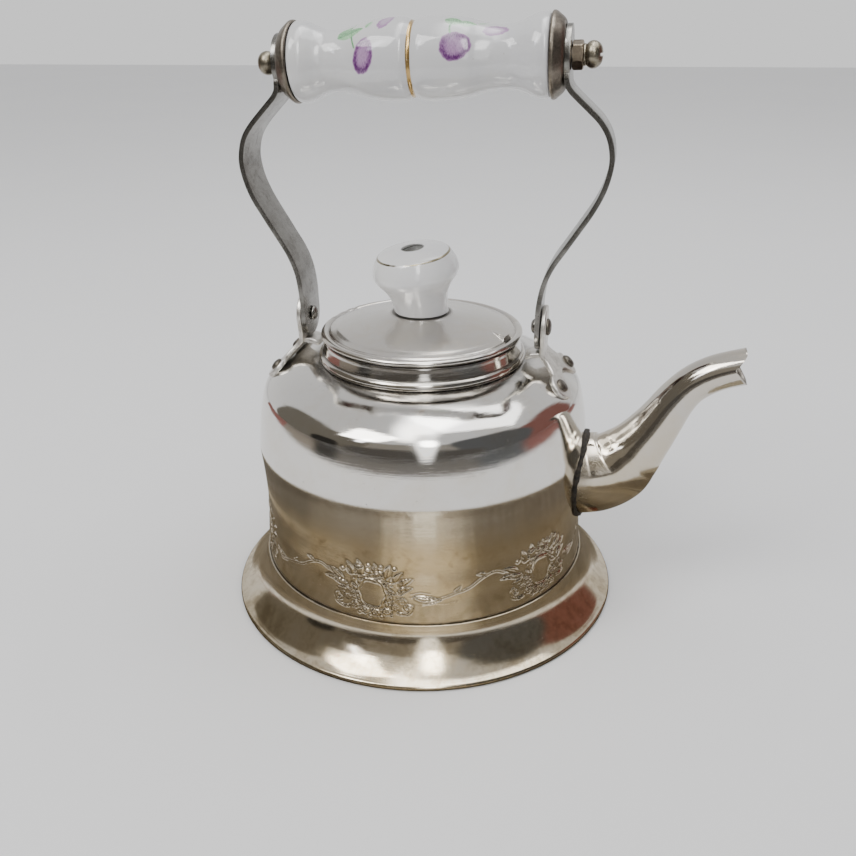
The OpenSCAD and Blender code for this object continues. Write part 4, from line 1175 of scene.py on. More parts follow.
def grip():
    r, half = GRIP_R, GRIP_LEN / 2
    pts = smooth([
        (0.35, r - 1.1), (1.2, r - 0.7), (2.6, r - 0.2), (4.6, r), (7.5, r - 0.03), (10.5, r - 0.2), (13.5, r - 0.55),
        (16.5, r - 1.1), (19, r - 1.85), (21.5, r - 2.45), (24, r - 2.85), (26.4, r - 2.95), (28.6, r - 2.8),
        (31, r - 2.05), (33.2, r - 1.05), (35.2, r - 0.28), (37.2, r), (38.6, r - 0.2), (half - 0.1, r - 0.75)], 14)
    pts = resample(pts, 0.3)
    right = np.vstack([[(0.0, r - 1.2)], pts])
    full = np.vstack([right[::-1] * [-1, 1], right[1:]])
    full[:, 0] -= GROOVE * (1 - np.abs(full[:, 0]) / half)
    bore = 2.5
    prof = np.vstack([[(bore, -half + 0.05)], [(bore + 0.3, -half)], [(9.6, -half)], [(r - 1.0, -half + 0.02)],
                      full[:, ::-1], [(r - 1.0, half - 0.02)], [(9.6, half)], [(bore + 0.3, half)], [(bore, half - 0.05)]])
    seg = 300
    V, F = lathe_data(prof, seg)
    ob = new_mesh("grip_porcelain", to_x(V), F)
    X = V[:, 2]
    # angle up from the front (-Y) over the top
    A = np.degrees(np.arctan2(-V[:, 0], -V[:, 1]))
    P = np.hypot(V[:, 0], V[:, 1])
    S = np.zeros((3, len(V)))

    def local(x0, a0, turn, side=1):
        d = ((A - a0 + 180) % 360 - 180)
        du, dv = (X - x0) * side, np.radians(d) * 10.6
        t = math.radians(turn)
        return du * math.cos(t) + dv * math.sin(t), -du * math.sin(t) + dv * math.cos(t)

    rng = np.random.default_rng(2)

    def bloom(x0, a0, lx, ly, turn, amt=1.0, side=1, hollow=0.6, rag=0.16):
        """A soft oval berry with a dark ragged rim and a pale middle"""
        p, q = local(x0, a0, turn, side)
        ang = np.arctan2(q / ly, p / lx)
        ph = rng.uniform(0, 6.28, 4)
        edge = 1 + rag * (0.5 * np.sin(3 * ang + ph[0]) + 0.35 * np.sin(7 * ang + ph[1]) + 0.3 * np.sin(13 * ang + ph[2]))
        d = np.hypot(p / lx, q / ly) / edge
        rim = np.exp(-((d - 0.78) / 0.20) ** 2)
        low = np.clip(0.5 - 0.5 * q / ly, 0, 1)
        val = np.clip((1 - hollow) * 0.75 + hollow * rim * (0.55 + 0.6 * low), 0, 1) * np.clip((1.04 - d) / 0.12, 0, 1)
        S[0] = np.maximum(S[0], amt * val)

    def leafp(x0, a0, L, W, turn, amt=1.0, side=1, ch=1):
        p, q = local(x0, a0, turn, side)
        t = np.clip((p + L / 2) / L, 0, 1)
        h = W / 2 * np.sin(math.pi * t ** 0.8) ** 0.8 + 1e-6
        ins = (np.abs(p) < L / 2) * np.clip((h - np.abs(q)) / 0.3 + 0.5, 0, 1)
        vein = 0.35 * np.exp(-(q / 0.25) ** 2)
        S[ch] = np.maximum(S[ch], amt * ins * (0.55 + vein + 0.25 * (q > 0)))

    def line(pts, w, amt, ch=1, side=1):
        P_ = smooth(pts, 8)
        for a_, b_ in zip(P_[:-1], P_[1:]):
            x0, a0 = a_
            pu, pv = (X - x0) * side, np.radians((A - a0 + 180) % 360 - 180) * 10.6
            du, dv = (b_[0] - x0) * side, np.radians(b_[1] - a0) * 10.6
            L = du * du + dv * dv + 1e-9
            t = np.clip((pu * du + pv * dv) / L, 0, 1)
            d = np.hypot(pu - t * du, pv - t * dv)
            S[ch] = np.maximum(S[ch], amt * np.clip(1.3 - d / w, 0, 1))

    # sprays of two berries with a leaf, then a smaller pale pair behind them, all round the grip
    for base, k in ((0, 1.0), (180, 0.9)):
        bloom(-15.2, base + 9, 3.1, 5.1, -14, 1.0 * k, hollow=0.50, rag=0.05)
        line([(-19.4, base + 56), (-19.0, base + 38), (-18.0, base + 22)], 0.28, 1.0 * k, 1)
        leafp(-19.8, base + 50, 8.4, 3.8, 12, 0.9 * k)
        leafp(-21.6, base + 58, 5.6, 3.0, 38, 0.8 * k)
        line([(-20.3, base + 58), (-18.6, base + 72)], 0.25, 0.8 * k, 1)
        bloom(-9.3, base + 66, 1.9, 3.6, -30, 0.52 * k, hollow=0.25, rag=0.10)
        leafp(-14.2, base + 62, 3.4, 2.0, 60, 0.55 * k)
        bloom(12.3, base + 20, 4.7, 3.9, 12, 0.98 * k, hollow=0.48, rag=0.05)
        line([(10.8, base + 58), (10.4, base + 48), (10.7, base + 39)], 0.28, 1.0 * k, 1)
        leafp(11.4, base + 62, 5.8, 3.4, -8, 0.9 * k)
        leafp(15.4, base + 60, 5.2, 2.8, 10, 0.7 * k)
        bloom(23.4, base + 54, 3.9, 2.5, 14, 0.52 * k, hollow=0.25, rag=0.10)
        leafp(19.6, base + 70, 3.4, 1.6, 40, 0.35 * k)
    # gilt line in the groove
    S[2] = np.clip(1.25 - np.abs(X + GROOVE) / 0.80, 0, 1) * (P > 9)
    col = ob.data.color_attributes.new("paint", "FLOAT_COLOR", "POINT")
    rgba = np.stack([S[0], S[1], S[2], np.ones(len(V))], 1)
    col.data.foreach_set("color", np.ascontiguousarray(np.clip(rgba, 0, 1), np.float32).ravel())
    finish_piece(ob, "handle", ["grip"], M_GRIP, sharp=50)


grip()


def caps():
    half = GRIP_LEN / 2
    e, o = half + 0.05, EYE_X - STRAP_T / 2 - 0.1
    for sign, side in ((1, "spout_side"), (-1, "back")):
        prof = rounded_ring([
            (2.1, o - 0.8), (8.7, o - 0.8), (11.25, e + 0.95), (11.2, e + 0.05), (11.85, e + 0.0), (12.17, e + 0.35),
            (12.2, e + 0.8), (12.03, e + 1.3), (10.4, o - 0.75), (9.55, o - 0.12), (9.0, o), (2.1, o)],
            [0] + [0.5, 0.5, 0.2, 0.3, 0.4, 0.4, 0.6, 0.8, 0.5, 0.4, 0.3, 0.1, 0], 5)

        def disp(R, Z, T):
            return R * (1 + 0.004 * np.sin(2 * T + sign) + 0.003 * np.sin(5 * T)), Z + 0.04 * np.sin(3 * T + sign) * (R > 8)
        V, F = lathe_data(prof, 144, disp)
        V[:, 2] *= sign
        ob = new_mesh("grip_cap_" + side + "_dish", to_x(V), F)
        finish_piece(ob, "handle", ["grip_cap_" + side], M_CAP, sharp=50)


caps()
NUT_X = EYE_X + STRAP_T / 2 + 0.02


def nut():
    # a hexagon with its corners turned down, bored, drawn as rings of directly computed radius
    rc = NUT_AF / 2 / math.cos(math.pi / 6)
    seg = 240
    th = np.arange(seg) * 2 * math.pi / seg
    hexr = (NUT_AF / 2) / np.cos((th + math.radians(12)) % (math.pi / 3) - math.pi / 6)
    hexr = np.minimum(hexr, rc - 0.10)
    rows = []
    for z, cham in ((0.0, rc - 0.55), (0.10, rc - 0.35), (0.35, rc - 0.12), (0.6, rc + 1), (1.2, rc + 1), (2.0, rc + 1), (2.6, rc + 1),
                    (2.88, rc - 0.12), (3.08, rc - 0.38), (3.2, rc - 0.62)):
        rows.append((np.minimum(hexr, cham), z))
    rows.append((np.full(seg, 2.6), 3.2))
    rows.append((np.full(seg, 2.02), 3.0))
    rows.append((np.full(seg, 2.02), 0.2))
    rows.append((np.full(seg, 2.6), 0.0))
    V = np.concatenate([np.stack([r * np.cos(th), r * np.sin(th), np.full(seg, z + NUT_X)], 1) for r, z in rows])
    ob = new_mesh("rod_nut_hex", to_x(V), [grid(len(rows), seg, wrap_r=True)])
    finish_piece(ob, "handle", ["rod_nut"], M_HEX, sharp=28)


nut()


def ball(name, node, x0, neck, slot, sign, r):
    c = x0 + neck + 2.6
    prof = [(0, c + 2.9)]
    for k in range(1, 36):
        a = math.radians(90 - k * 4.0)
        if a < math.radians(-46):
            break
        prof.append((r * math.cos(a) ** 0.78, c + (2.9 if a > 0 else 2.6) * math.sin(a)))
    prof += [(3.12, x0 + max(neck, 0.5)), (3.12, x0 + 0.22), (2.9, x0), (0, x0)]
    prof = np.array(prof)
    V, F = lathe_data(prof, 96)
    V[:, 2] *= sign
    ob = new_mesh(name, to_x(V), F)
    if slot:
        bm = bmesh.new()
        bmesh.ops.create_cube(bm, size=1.0)
        cut = bpy.data.meshes.new("slot_cutter")
        for v in bm.verts:
            q = np.array([[c + 2.1 + 2.0 + v.co.x * 4, v.co.y * 12, v.co.z * 0.9]])
            v.co = Vector(at_grip(q[:, 0], q[:, 1], q[:, 2])[0] * MM)
        bm.to_mesh(cut)
        bm.free()
        co = bpy.data.objects.new("slot_cutter", cut)
        bpy.context.scene.collection.objects.link(co)
        md = ob.modifiers.new("slot", "BOOLEAN")
        md.operation, md.object, md.solver = "DIFFERENCE", co, "EXACT"
        applied(ob)
        bpy.data.objects.remove(co)
    finish_piece(ob, "handle", [node], M_NUT, sharp=38)


ball("ball_nut_spout_side_knob", "ball_nut_spout_side", NUT_X + 3.22, 0.05, True, 1, BALL_R)
ball("ball_nut_back_knob", "ball_nut_back", NUT_X, 1.5, False, -1, BALL_R - 0.3)


# ----------------------------------------------------------------------- lid
def lid():
    r, z = LID_R, LZ
    top = rounded([
        (r - 0.62, z + 0.0), (r - 0.12, z + 0.35), (r, z + 0.85), (r - 0.15, z + 1.35), (r - 0.6, z + 1.8),
        (r - 1.3, z + 2.0), (r - 1.95, z + 1.85), (r - 2.4, z + 1.45), (r - 2.75, z + 1.55), (r - 3.3, z + 2.0)], 0.45, 5)
    dome = smooth([(r - 3.3, z + 2.0), (r - 5, z + 2.5), (28, z + 3.0), (24, z + 4.1), (20, z + 4.95), (16, z + 5.7),
                   (13, z + 6.3), (11.2, SEAT_Z - 0.45), (10.2, SEAT_Z - 0.02), (9.0, SEAT_Z)], 9)[1:]
    dome = resample(dome, 0.45)
    inner = smooth([(10.0, SEAT_Z - 0.9), (11.0, SEAT_Z - 1.35), (12.8, z + 5.4), (16, z + 4.75), (20, z + 4.0), (24, z + 3.1),
                    (28, z + 2.0), (31.2, z + 0.9), (r - 2.9, z + 0.5), (r - 2.2, z + 0.4), (r - 1.4, z)], 3)
    prof = np.vstack([top, dome, [(5.0, SEAT_Z), (2.2, SEAT_Z), (2.2, SEAT_Z - 0.9), (6.0, SEAT_Z - 0.9)], inner])
    n_top = len(top) + len(dome)
    seg = 720

    def vent(R, T, Zr):
        """a small triangular hood pressed up near the rim, with a pressed-down slit on its outer side"""
        x, y = R * np.cos(T), R * np.sin(T)
        a = math.radians(-13)
        p = x * math.cos(a) + y * math.sin(a) - 28.6
        q = -x * math.sin(a) + y * math.cos(a)
        # point towards the knob, wide side outwards
        f = np.clip((p + 3.3) / 5.8, 0, 1)
        half = 0.35 + 2.4 * f
        edge = np.clip((half - np.abs(q)) / 0.8, 0, 1)
        h = 1.15 * f ** 0.8 * edge ** 0.7 * (p > -3.3) * (p < 2.4)
        slit = (p > 2.4) * (p <= 3.3) * (np.abs(q) < 2.7)
        return h, slit

    def disp(R, Z, T):
        Z = Z.copy()
        R = R.copy()
        h, slit = vent(R[:n_top], T[:n_top], Z[:n_top])
        w = noise1(T[:n_top], R[:n_top], 51, 9, 6, 34) * 0.05 + noise1(T[:n_top], R[:n_top], 52, 9, 14, 12) * 0.016
        k = np.clip((R[:n_top] - 10.5) / 5, 0, 1) * np.clip((32.2 - R[:n_top]) / 2, 0, 1)
        Z[:n_top] += w * k + h * (R[:n_top] < 31.4) - 0.55 * slit
        # knocks in the rolled rim, at the back left
        rim = np.exp(-((R[:n_top] - 33.0) / 1.6) ** 2)
        for a0, wd, dp in ((168, 5, 0.35), (158, 3, 0.25), (150, 2.2, 0.3), (-38, 4, 0.18), (20, 3, 0.15)):
            d = (np.degrees(T[:n_top]) - a0 + 180) % 360 - 180
            Z[:n_top] -= dp * rim * np.exp(-(d / wd) ** 2)
        return R, Z
    ob = lathe("lid_cover_shell", prof, seg, disp)
    th = np.arange(seg) * 2 * math.pi / seg
    T = np.repeat(th[None, :], len(prof), 0)
    R = np.repeat(prof[:, :1], seg, 1)
    D = np.zeros_like(T)
    h, slit = vent(R[:n_top], T[:n_top], None)
    # painted shade: the vent's slit is painted fully dark as the shade inside an opening
    D[:n_top] = np.maximum(slit * 1.0, 0)
    D[:n_top] += 0.5 * np.exp(-((R[:n_top] - (LID_R - 2.5)) / 0.5) ** 2) * (0.5 + 0.5 * noise1(T[:n_top], R[:n_top] * 0, 61, 9, 30, 9))
    D[:n_top] = np.maximum(D[:n_top], 0.85 * np.exp(-((R[:n_top] - 9.6) / 0.7) ** 2))
    for a0, wd, r0, am in ((160, 9, 31.5, 0.8), (152, 4, 33.4, 0.8), (172, 4, 32.5, 0.7)):
        d = (np.degrees(T[:n_top]) - a0 + 180) % 360 - 180
        D[:n_top] = np.maximum(D[:n_top], am * np.exp(-(d / wd) ** 2 - ((R[:n_top] - r0) / 0.9) ** 2)
                               * np.clip(0.6 + 0.9 * noise1(T[:n_top] * 4, R[:n_top] * 3, 63, 9, 40, 5), 0, 1))
    D[n_top:] = 0.2
    # painted shadow: the lowest edge of the rim is darkened, the gap between lid and neck
    low = np.clip((LZ + 0.55 - prof[:, 1:2]) / 0.4, 0, 1) * (prof[:, :1] > LID_R - 1.6)
    D = np.maximum(D, 0.9 * low)
    at = ob.data.attributes.new("dirt_and_shade", "FLOAT", "POINT")
    at.data.foreach_set("value", np.clip(D, 0, 1).ravel().astype(np.float32))
    finish_piece(ob, "lid", ["lid_cover"], M_LID, sharp=50)

    rf = NECK_R - 1.6
    prof = rounded_ring([(rf - 0.8, z - 6.8), (rf - 0.5, z - 7.1), (rf - 0.2, z - 7.1), (rf, z - 6.8), (rf, z + 0.35),
                         (rf - 0.8, z + 0.55)], 0.2, 3)
    ob = lathe("lid_flange_ring", prof, 360, lambda R, Z, T: (R + 0.03 * np.sin(3 * T) + 0.02 * np.sin(7 * T + 1), Z))
    finish_piece(ob, "lid", ["lid_flange"], M_INNER, sharp=50)


lid()

LEAN = (Matrix.Translation((0, 0, SEAT_Z + 0.5)) @ Matrix.Rotation(math.radians(-LEAN_B), 4, "Y")
        @ Matrix.Rotation(math.radians(LEAN_F), 4, "X"))
_LM = np.array(LEAN)


def leaning(V):
    return V @ _LM[:3, :3].T + _LM[:3, 3]


def knob():
    k = KNOB_R
    pts = smooth([(9.1, -2.2), (9.1, 1), (9.25, 3), (9.6, 5.1), (10.4, 7.4), (12.0, 10.0), (k - 0.75, 12.1),
                  (k - 0.03, 13.7), (k - 0.05, 15.3), (k - 0.55, 17.0), (k - 1.4, 18.7), (12.0, 20.2), (10.4, 21.0),
                  (7.4, 21.7), (3.9, 22.05)], 10)
    pts = resample(pts, 0.35)
    prof = np.vstack([[(1.7, -2.2)], pts, rounded([(3.9, 22.05), (3.76, 21.95), (3.75, 20.8), (1.7, 20.8)], 0.15, 3)[1:]])
    V, F = lathe_data(prof, 256)
    A = np.arctan2(V[:, 1], V[:, 0])
    rr = np.hypot(V[:, 0], V[:, 1])
    zz = V[:, 2].copy()
    gold = np.clip(1.35 - np.hypot(rr - 12.05, (zz - 20.15)) / 0.42, 0, 1)
    gold *= np.clip(0.9 + 0.55 * noise1(A[None, :] * 2, zz[None, :], 71, 9, 20, 50)[0], 0.25, 1)
    ob = new_mesh("lid_knob_porcelain", leaning(V), F)
    col = ob.data.color_attributes.new("paint", "FLOAT_COLOR", "POINT")
    rgba = np.stack([gold * 0, gold * 0, gold, np.ones(len(V))], 1)
    col.data.foreach_set("color", np.ascontiguousarray(rgba, np.float32).ravel())
    # the base is ground flat to the lid
    bm = bmesh.new()
    bm.from_mesh(ob.data)
    r = bmesh.ops.bisect_plane(bm, geom=bm.verts[:] + bm.edges[:] + bm.faces[:], dist=1e-7,
                               plane_co=(0, 0, (SEAT_Z + 0.52) * MM), plane_no=(0, 0, -1), clear_outer=True)
    edges = [e for e in r["geom_cut"] if isinstance(e, bmesh.types.BMEdge)]
    # close the ring between the outer skin and the bore
    bmesh.ops.triangle_fill(bm, use_beauty=True, edges=edges)
    bm.to_mesh(ob.data)
    bm.free()
    finish_piece(ob, "lid", ["lid_knob"], M_KNOB, sharp=50)


knob()


def knob_screw():
    prof = [(0, 22.45)]
    for k in range(1, 15):
        a = math.radians(90 - k * 6.2)
        prof.append((3.7 * math.cos(a) ** 0.9, 21.7 + 0.75 * math.sin(a)))
    prof += [(3.7, 21.4), (3.62, 20.82), (1.5, 20.8), (1.5, -4.6), (0, -4.6)]
    V, F = lathe_data(prof, 72)
    ob = new_mesh("knob_screw_head", leaning(V), F)
    bm = bmesh.new()
    bmesh.ops.create_cube(bm, size=1.0)
    for v in bm.verts:
        v.co = Vector((v.co.x * 10, v.co.y * 0.85, 21.85 + 1.5 + v.co.z * 3))
    cut = bpy.data.meshes.new("screw_cutter")
    bm.to_mesh(cut)
    bm.free()
    co = bpy.data.objects.new("screw_cutter", cut)
    rot = Matrix.Rotation(math.radians(35), 4, "Z")
    for v in cut.vertices:
        v.co = (LEAN @ rot @ v.co) * MM
    bpy.context.scene.collection.objects.link(co)
    md = ob.modifiers.new("slot", "BOOLEAN")
    md.operation, md.object, md.solver = "DIFFERENCE", co, "EXACT"
    applied(ob)
    bpy.data.objects.remove(co)
    finish_piece(ob, "lid", ["knob_screw"], M_SCREW, sharp=40)


knob_screw()


# ---------------------------------------------------- CAD nodes kept as they are
def dress(node, material, sharp=35):
    o = NODE[node]
    if o.data.materials:
        for i in range(len(o.data.materials)):
            o.data.materials[i] = material
    else:
        o.data.materials.append(material)
    for s in o.material_slots:
        s.material = material


dress("pot_base", M_INNER)
dress("grip_rod", M_STEEL)
dress("knob_washer", M_WASHER)
dress("knob_nut", M_STEEL)


# ---------------------------------------------------------------------- stage
def stage():
    me = bpy.data.meshes.new("floor")
    bm = bmesh.new()
    bmesh.ops.create_grid(bm, x_segments=8, y_segments=8, size=3.0)
    bm.to_mesh(me)
    bm.free()
    floor = bpy.data.objects.new("floor", me)
    bpy.context.scene.collection.objects.link(floor)
    floor.location = (0, 0, -0.00005)
    m = Mat("floor_paper")
    mm = m.mm()
    m.set(Base_Color=m.mix(m.noise(mm, 0.004, 3.0), (0.78, 0.78, 0.785), (0.82, 0.82, 0.82)), Roughness=0.85,
          Specular_IOR_Level=0.2)
    me.materials.append(m.m)

    # a warm card round the foot stands in for the tray, seen only in glossy reflections; its colour carries painted
    # light and shade
    V, F = lathe_data([(60.0, 0.4), (100, 0.4), (141, 0.4), (141.2, 0.3), (60.0, 0.3)], 96)
    card = new_mesh("reflector_card", V - [2.0, 6.0, 0.0], F)
    m = Mat("tray_card_painted_light")
    mm = m.mm()
    dx, dy = m.math("ADD", m.x, 2.0), m.math("ADD", m.y, 6.0)
    rad = m.math("SQRT", m.math("ADD", m.math("MULTIPLY", dx, dx), m.math("MULTIPLY", dy, dy)))
    turn = m.math("ARCTAN2", dy, dx)
    n1 = m.noise(mm, 0.03, 5.0, 0.65, 0.4)
    n2 = m.noise(mm, 0.16, 4.0, 0.65, 0.6)
    streak = m.noise(m.vec(m.math("MULTIPLY", turn, 22.0), m.math("MULTIPLY", rad, 0.02), 0.0), 1.0, 3.0, 0.6)
    col = m.mix(m.ramp(n1, 0.38, 0.66), (0.30, 0.26, 0.185), (0.50, 0.44, 0.325))
    col = m.mix(m.math("MULTIPLY", m.ramp(streak, 0.45, 0.62), 0.35), col, (0.62, 0.57, 0.45))
    col = m.mix(m.ramp(rad, 99.0, 101.5), col, (0.66, 0.57, 0.40))
    flat = m.mix(m.ramp(n2, 0.36, 0.64), (0.17, 0.13, 0.085), (0.38, 0.32, 0.225))
    col = m.mix(m.ramp(rad, 108.0, 109.0), col, (0.12, 0.092, 0.06))
    # painted highlight: the bright ring on the tray's step
    col = m.mix(m.ramp(rad, 110.2, 110.9), col, (0.74, 0.66, 0.49))
    col = m.mix(m.ramp(rad, 112.6, 113.4), col, flat)
    rope = m.ramp(m.math("SINE", m.math("ADD", m.math("MULTIPLY", turn, 120.0), m.math("MULTIPLY", rad, 0.35))), -0.2, 0.5)
    rope = m.mix(rope, (0.16, 0.125, 0.08), (0.72, 0.66, 0.50))
    # painted light: bright in front, painted shade to either side
    off = m.math("ABSOLUTE", m.math("ADD", m.math("MULTIPLY_ADD", m.math("SUBTRACT", n2, 0.5), 0.5, turn), 1.30))
    shade = m.ramp(off, 0.20, 0.55, 0.0, 0.80)
    # painted highlight: a bright patch in front on the flat ring
    glow = m.math("MULTIPLY", m.ramp(off, 0.20, 0.05), m.ramp(rad, 110.0, 114.0))
    col = m.mix(m.math("MULTIPLY", glow, 0.8), col, (0.95, 0.88, 0.72))
    col = m.mix(shade, col, (0.075, 0.058, 0.036))
    left = m.math("MULTIPLY", m.ramp(rad, 99.0, 100.0), m.ramp(rad, 102.4, 101.4))
    left = m.math("MULTIPLY", left, m.ramp(m.x, -25.0, -60.0))
    # painted shade darkens the left side, then a painted highlight line is laid on it
    col = m.mix(m.ramp(m.math("MULTIPLY_ADD", n1, 50.0, m.x), -50.0, -85.0, 0.0, 0.45), col, (0.035, 0.027, 0.016))
    col = m.mix(m.math("MULTIPLY", left, 0.8), col, (0.55, 0.47, 0.33))
    col = m.mix(m.math("MULTIPLY", m.ramp(rad, 133.2, 134.0), 0.75), col, rope)
    m.set(Base_Color=col, Roughness=0.6, Metallic=0.25)
    card.data.materials.append(m.m)
    # dark flags beyond it on the front side, at the studio's floor
    th = np.radians(np.arange(-118, 139, 2.0))
    rr = np.array([455.0, 520.0, 700.0, 1200.0, 2900.0])
    V = np.stack([rr[:, None] * np.sin(th), -rr[:, None] * np.cos(th), np.full((5, len(th)), 0.5)], -1).reshape(-1, 3)
    flags = new_mesh("dark_flags", V, [grid(5, len(th), wrap_c=False)])
    m = Mat("flag_cloth")
    mm = m.mm()
    turn = m.math("ADD", m.math("ARCTAN2", m.y, m.x), math.pi / 2)
    n1 = m.noise(mm, 0.004, 4.0, 0.6, 0.4)
    turn = m.math("MULTIPLY_ADD", m.math("SUBTRACT", n1, 0.5), 0.35, turn)
    col = m.mix(m.ramp(turn, -1.15, -1.0), (0.23, 0.20, 0.165), (0.035, 0.033, 0.03))
    col = m.mix(m.ramp(turn, -0.80, -0.70), col, (0.14, 0.13, 0.12))
    col = m.mix(m.ramp(turn, 0.75, 0.95), col, (0.10, 0.105, 0.11))
    col = m.mix(m.ramp(turn, 1.35, 1.5), col, (0.24, 0.10, 0.085))
    m.set(Base_Color=col, Roughness=0.9, Specular_IOR_Level=0.1)
    flags.data.materials.append(m.m)
    for c in (card, flags):
        c.visible_camera = False
        c.visible_shadow = False
        c.visible_diffuse = False
        c.visible_transmission = False


stage()


def sky(t, d, dressed):
    """Colour of the light from direction d: a plain pale dome, and when dressed the flags and windows that metal shows"""
    def vm(op, a, b=None):
        n = t.nodes.new("ShaderNodeVectorMath")
        n.operation = op
        for i, v in enumerate((a, b)):
            if v is None:
                continue
            if isinstance(v, bpy.types.NodeSocket):
                t.links.new(v, n.inputs[i])
            else:
                n.inputs[i].default_value = v
        return n.outputs["Value"] if op == "DOT_PRODUCT" else n.outputs[0]

    def ma(op, a, b=0.0, clamp=False):
        n = t.nodes.new("ShaderNodeMath")
        n.operation = op
        n.use_clamp = clamp
        for i, v in enumerate((a, b)):
            if isinstance(v, bpy.types.NodeSocket):
                t.links.new(v, n.inputs[i])
            else:
                n.inputs[i].default_value = v
        return n.outputs[0]

    def step(f, a, b, va, vb):
        n = t.nodes.new("ShaderNodeMapRange")
        n.interpolation_type = "SMOOTHSTEP"
        t.links.new(f, n.inputs["Value"])
        for k, v in (("From Min", a), ("From Max", b), ("To Min", va), ("To Max", vb)):
            n.inputs[k].default_value = v
        return n.outputs[0]

    def blob(az, el, half_az, half_el, soft):
        """1 inside an oval patch of sky; az 0 is towards -Y, positive to +X"""
        a, e = math.radians(az), math.radians(el)
        c = (math.sin(a) * math.cos(e), -math.cos(a) * math.cos(e), math.sin(e))
        rt = (math.cos(a), math.sin(a), 0)
        up = (-math.sin(a) * math.sin(e), math.cos(a) * math.sin(e), math.cos(e))
        fwd = vm("DOT_PRODUCT", d, c)
        x = ma("DIVIDE", vm("DOT_PRODUCT", d, rt), ma("MAXIMUM", fwd, 0.05))
        y = ma("DIVIDE", vm("DOT_PRODUCT", d, up), ma("MAXIMUM", fwd, 0.05))
        x = ma("DIVIDE", x, math.tan(math.radians(half_az)))
        y = ma("DIVIDE", y, math.tan(math.radians(half_el)))
        q = ma("POWER", ma("ADD", ma("POWER", ma("ABSOLUTE", x), 3.0), ma("POWER", ma("ABSOLUTE", y), 3.0)), 1 / 3)
        k = step(q, 1 - soft, 1 + soft, 1, 0)
        return ma("MULTIPLY", k, step(fwd, 0.02, 0.2, 0, 1))

    def mixc(f, a, b):
        n = t.nodes.new("ShaderNodeMix")
        n.data_type = "RGBA"
        t.links.new(f, n.inputs[0])
        for i, v in ((6, a), (7, b)):
            if isinstance(v, bpy.types.NodeSocket):
                t.links.new(v, n.inputs[i])
            else:
                n.inputs[i].default_value = tuple(v) + (1,)
        return n.outputs[2]

    sep = t.nodes.new("ShaderNodeSeparateXYZ")
    t.links.new(d, sep.inputs[0])
    col = mixc(step(sep.outputs[2], 0.0, 0.8, 0, 1), (0.93, 0.93, 0.93), (0.74, 0.74, 0.75))
    if not dressed:
        return col
    # the darker part of a room, low down on the side the camera stands
    col = mixc(blob(8, 16, 54, 24, 0.16), col, (0.30, 0.28, 0.25))
    col = mixc(blob(-68, 18, 40, 29, 0.04), col, (0.17, 0.155, 0.13))
    col = mixc(blob(-56, 0, 11, 13, 0.10), col, (0.03, 0.028, 0.025))
    col = mixc(blob(106, 14, 30, 27, 0.08), col, (0.23, 0.105, 0.09))
    col = mixc(blob(64, 22, 28, 31, 0.10), col, (0.11, 0.112, 0.115))
    col = mixc(blob(6, 0, 48, 13, 0.12), col, (0.10, 0.093, 0.086))
    # windows and a lamp overhead
    col = mixc(blob(0, 88, 9, 30, 0.5), col, (6.0, 6.0, 6.0))
    col = mixc(blob(15, 36, 7, 38, 0.20), col, (2.2, 2.2, 2.2))
    col = mixc(blob(17, 44, 4.5, 16, 0.3), col, (12.0, 12.0, 11.8))
    col = mixc(blob(-34, 40, 3.0, 12, 0.25), col, (6.0, 6.1, 6.6))
    return col


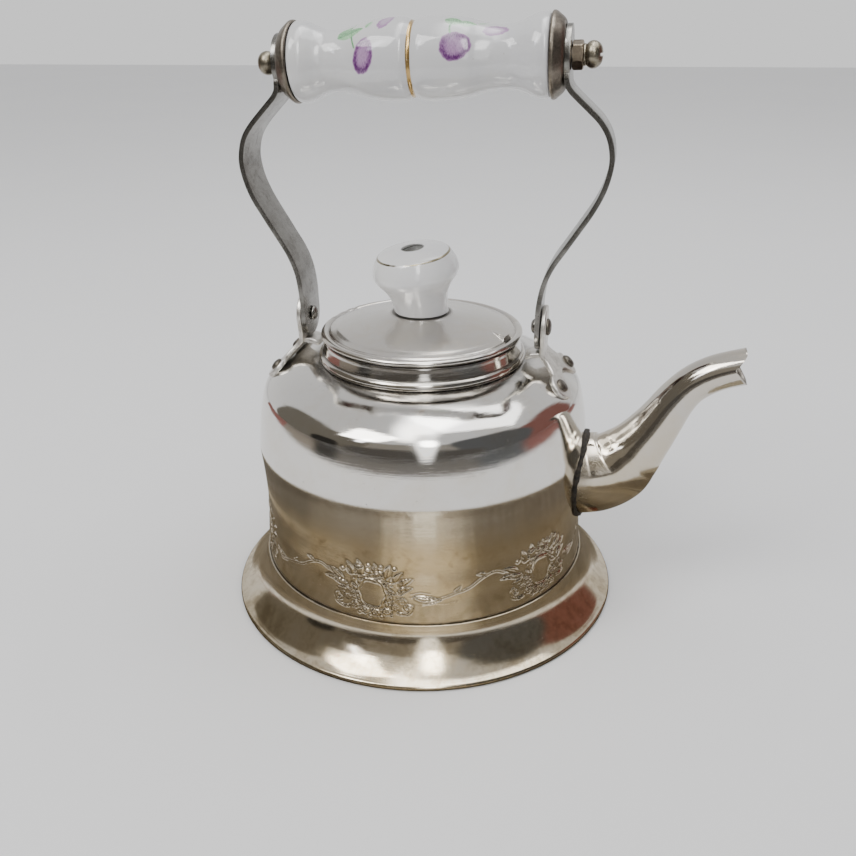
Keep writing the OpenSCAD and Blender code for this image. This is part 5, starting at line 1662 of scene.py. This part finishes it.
def world():
    w = bpy.data.worlds.new("studio")
    bpy.context.scene.world = w
    w.use_nodes = True
    t = w.node_tree
    t.nodes.clear()
    out = t.nodes.new("ShaderNodeOutputWorld")
    bg = t.nodes.new("ShaderNodeBackground")
    t.links.new(bg.outputs[0], out.inputs[0])
    tc = t.nodes.new("ShaderNodeTexCoord")
    t.links.new(sky(t, tc.outputs["Generated"], False), bg.inputs[0])
    bg.inputs[1].default_value = 1.0

    # the surroundings that the polished metal shows, far off all round
    el = np.radians(np.arange(-88, 90, 4.0))
    th = np.radians(np.arange(0, 360, 4.0))
    V = np.stack([np.cos(el)[:, None] * np.cos(th), np.cos(el)[:, None] * np.sin(th),
                  np.repeat(np.sin(el)[:, None], len(th), 1)], -1).reshape(-1, 3) * 7000
    tips = np.array([[0, 0, -7000.0], [0, 0, 7000.0]])
    n, m_ = len(el), len(th)
    k = np.arange(m_)
    lo = np.stack([np.full(m_, n * m_), (k + 1) % m_, k], 1)
    hi = np.stack([np.full(m_, n * m_ + 1), (n - 1) * m_ + k, (n - 1) * m_ + (k + 1) % m_], 1)
    dome = new_mesh("reflected_room", np.vstack([V, tips]), [grid(n, m_), lo, hi])
    m = Mat("reflected_room")
    e = m.t.nodes.new("ShaderNodeEmission")
    tc = m.t.nodes.new("ShaderNodeTexCoord")
    nn = m.t.nodes.new("ShaderNodeVectorMath")
    nn.operation = "NORMALIZE"
    m.t.links.new(tc.outputs["Object"], nn.inputs[0])
    m.t.links.new(sky(m.t, nn.outputs[0], True), e.inputs[0])
    m.t.links.new(e.outputs[0], m.out.inputs[0])
    dome.data.materials.append(m.m)
    dome.visible_camera = False
    dome.visible_shadow = False
    dome.visible_diffuse = False
    dome.visible_transmission = False
    dome.visible_volume_scatter = False


world()


def area(name, loc, look, size, power, color=(1, 1, 1), size_y=None):
    l = bpy.data.lights.new(name, "AREA")
    l.energy = power
    l.color = color
    l.size = size
    if size_y:
        l.shape = "RECTANGLE"
        l.size_y = size_y
    o = bpy.data.objects.new(name, l)
    bpy.context.scene.collection.objects.link(o)
    o.location = loc
    o.rotation_euler = (Vector(look) - Vector(loc)).to_track_quat("-Z", "Y").to_euler()
    return o


area("key", (-0.45, -0.55, 1.0), (0, 0, 0.08), 0.5, 6.5, (1.0, 0.99, 0.97))
area("top", (0.35, 0.25, 1.2), (0, 0, 0.05), 0.8, 6.0, (0.97, 0.98, 1.0))


# --------------------------------------------------------------------- camera
def camera():
    az, el, roll = math.radians(12.8), math.radians(25.267), math.radians(-0.596)
    back = Vector((math.sin(az) * math.cos(el), -math.cos(az) * math.cos(el), math.sin(el)))
    right = Vector((math.cos(az), math.sin(az), 0))
    up = back.cross(right)
    target = Vector((0, 0, 59.79)) + right * 1.734
    c = target + back * 323.97
    r = right * math.cos(roll) + up * math.sin(roll)
    u = -right * math.sin(roll) + up * math.cos(roll)
    cam = bpy.data.cameras.new("camera")
    cam.sensor_width = 36
    cam.lens = 900.67 * 36 / 856
    cam.clip_start = 0.01
    cam.clip_end = 50
    o = bpy.data.objects.new("camera", cam)
    bpy.context.scene.collection.objects.link(o)
    m = Matrix.Identity(4)
    for i in range(3):
        m[i][0], m[i][1], m[i][2], m[i][3] = r[i], u[i], back[i], c[i] * MM
    o.matrix_world = m
    bpy.context.scene.camera = o


camera()
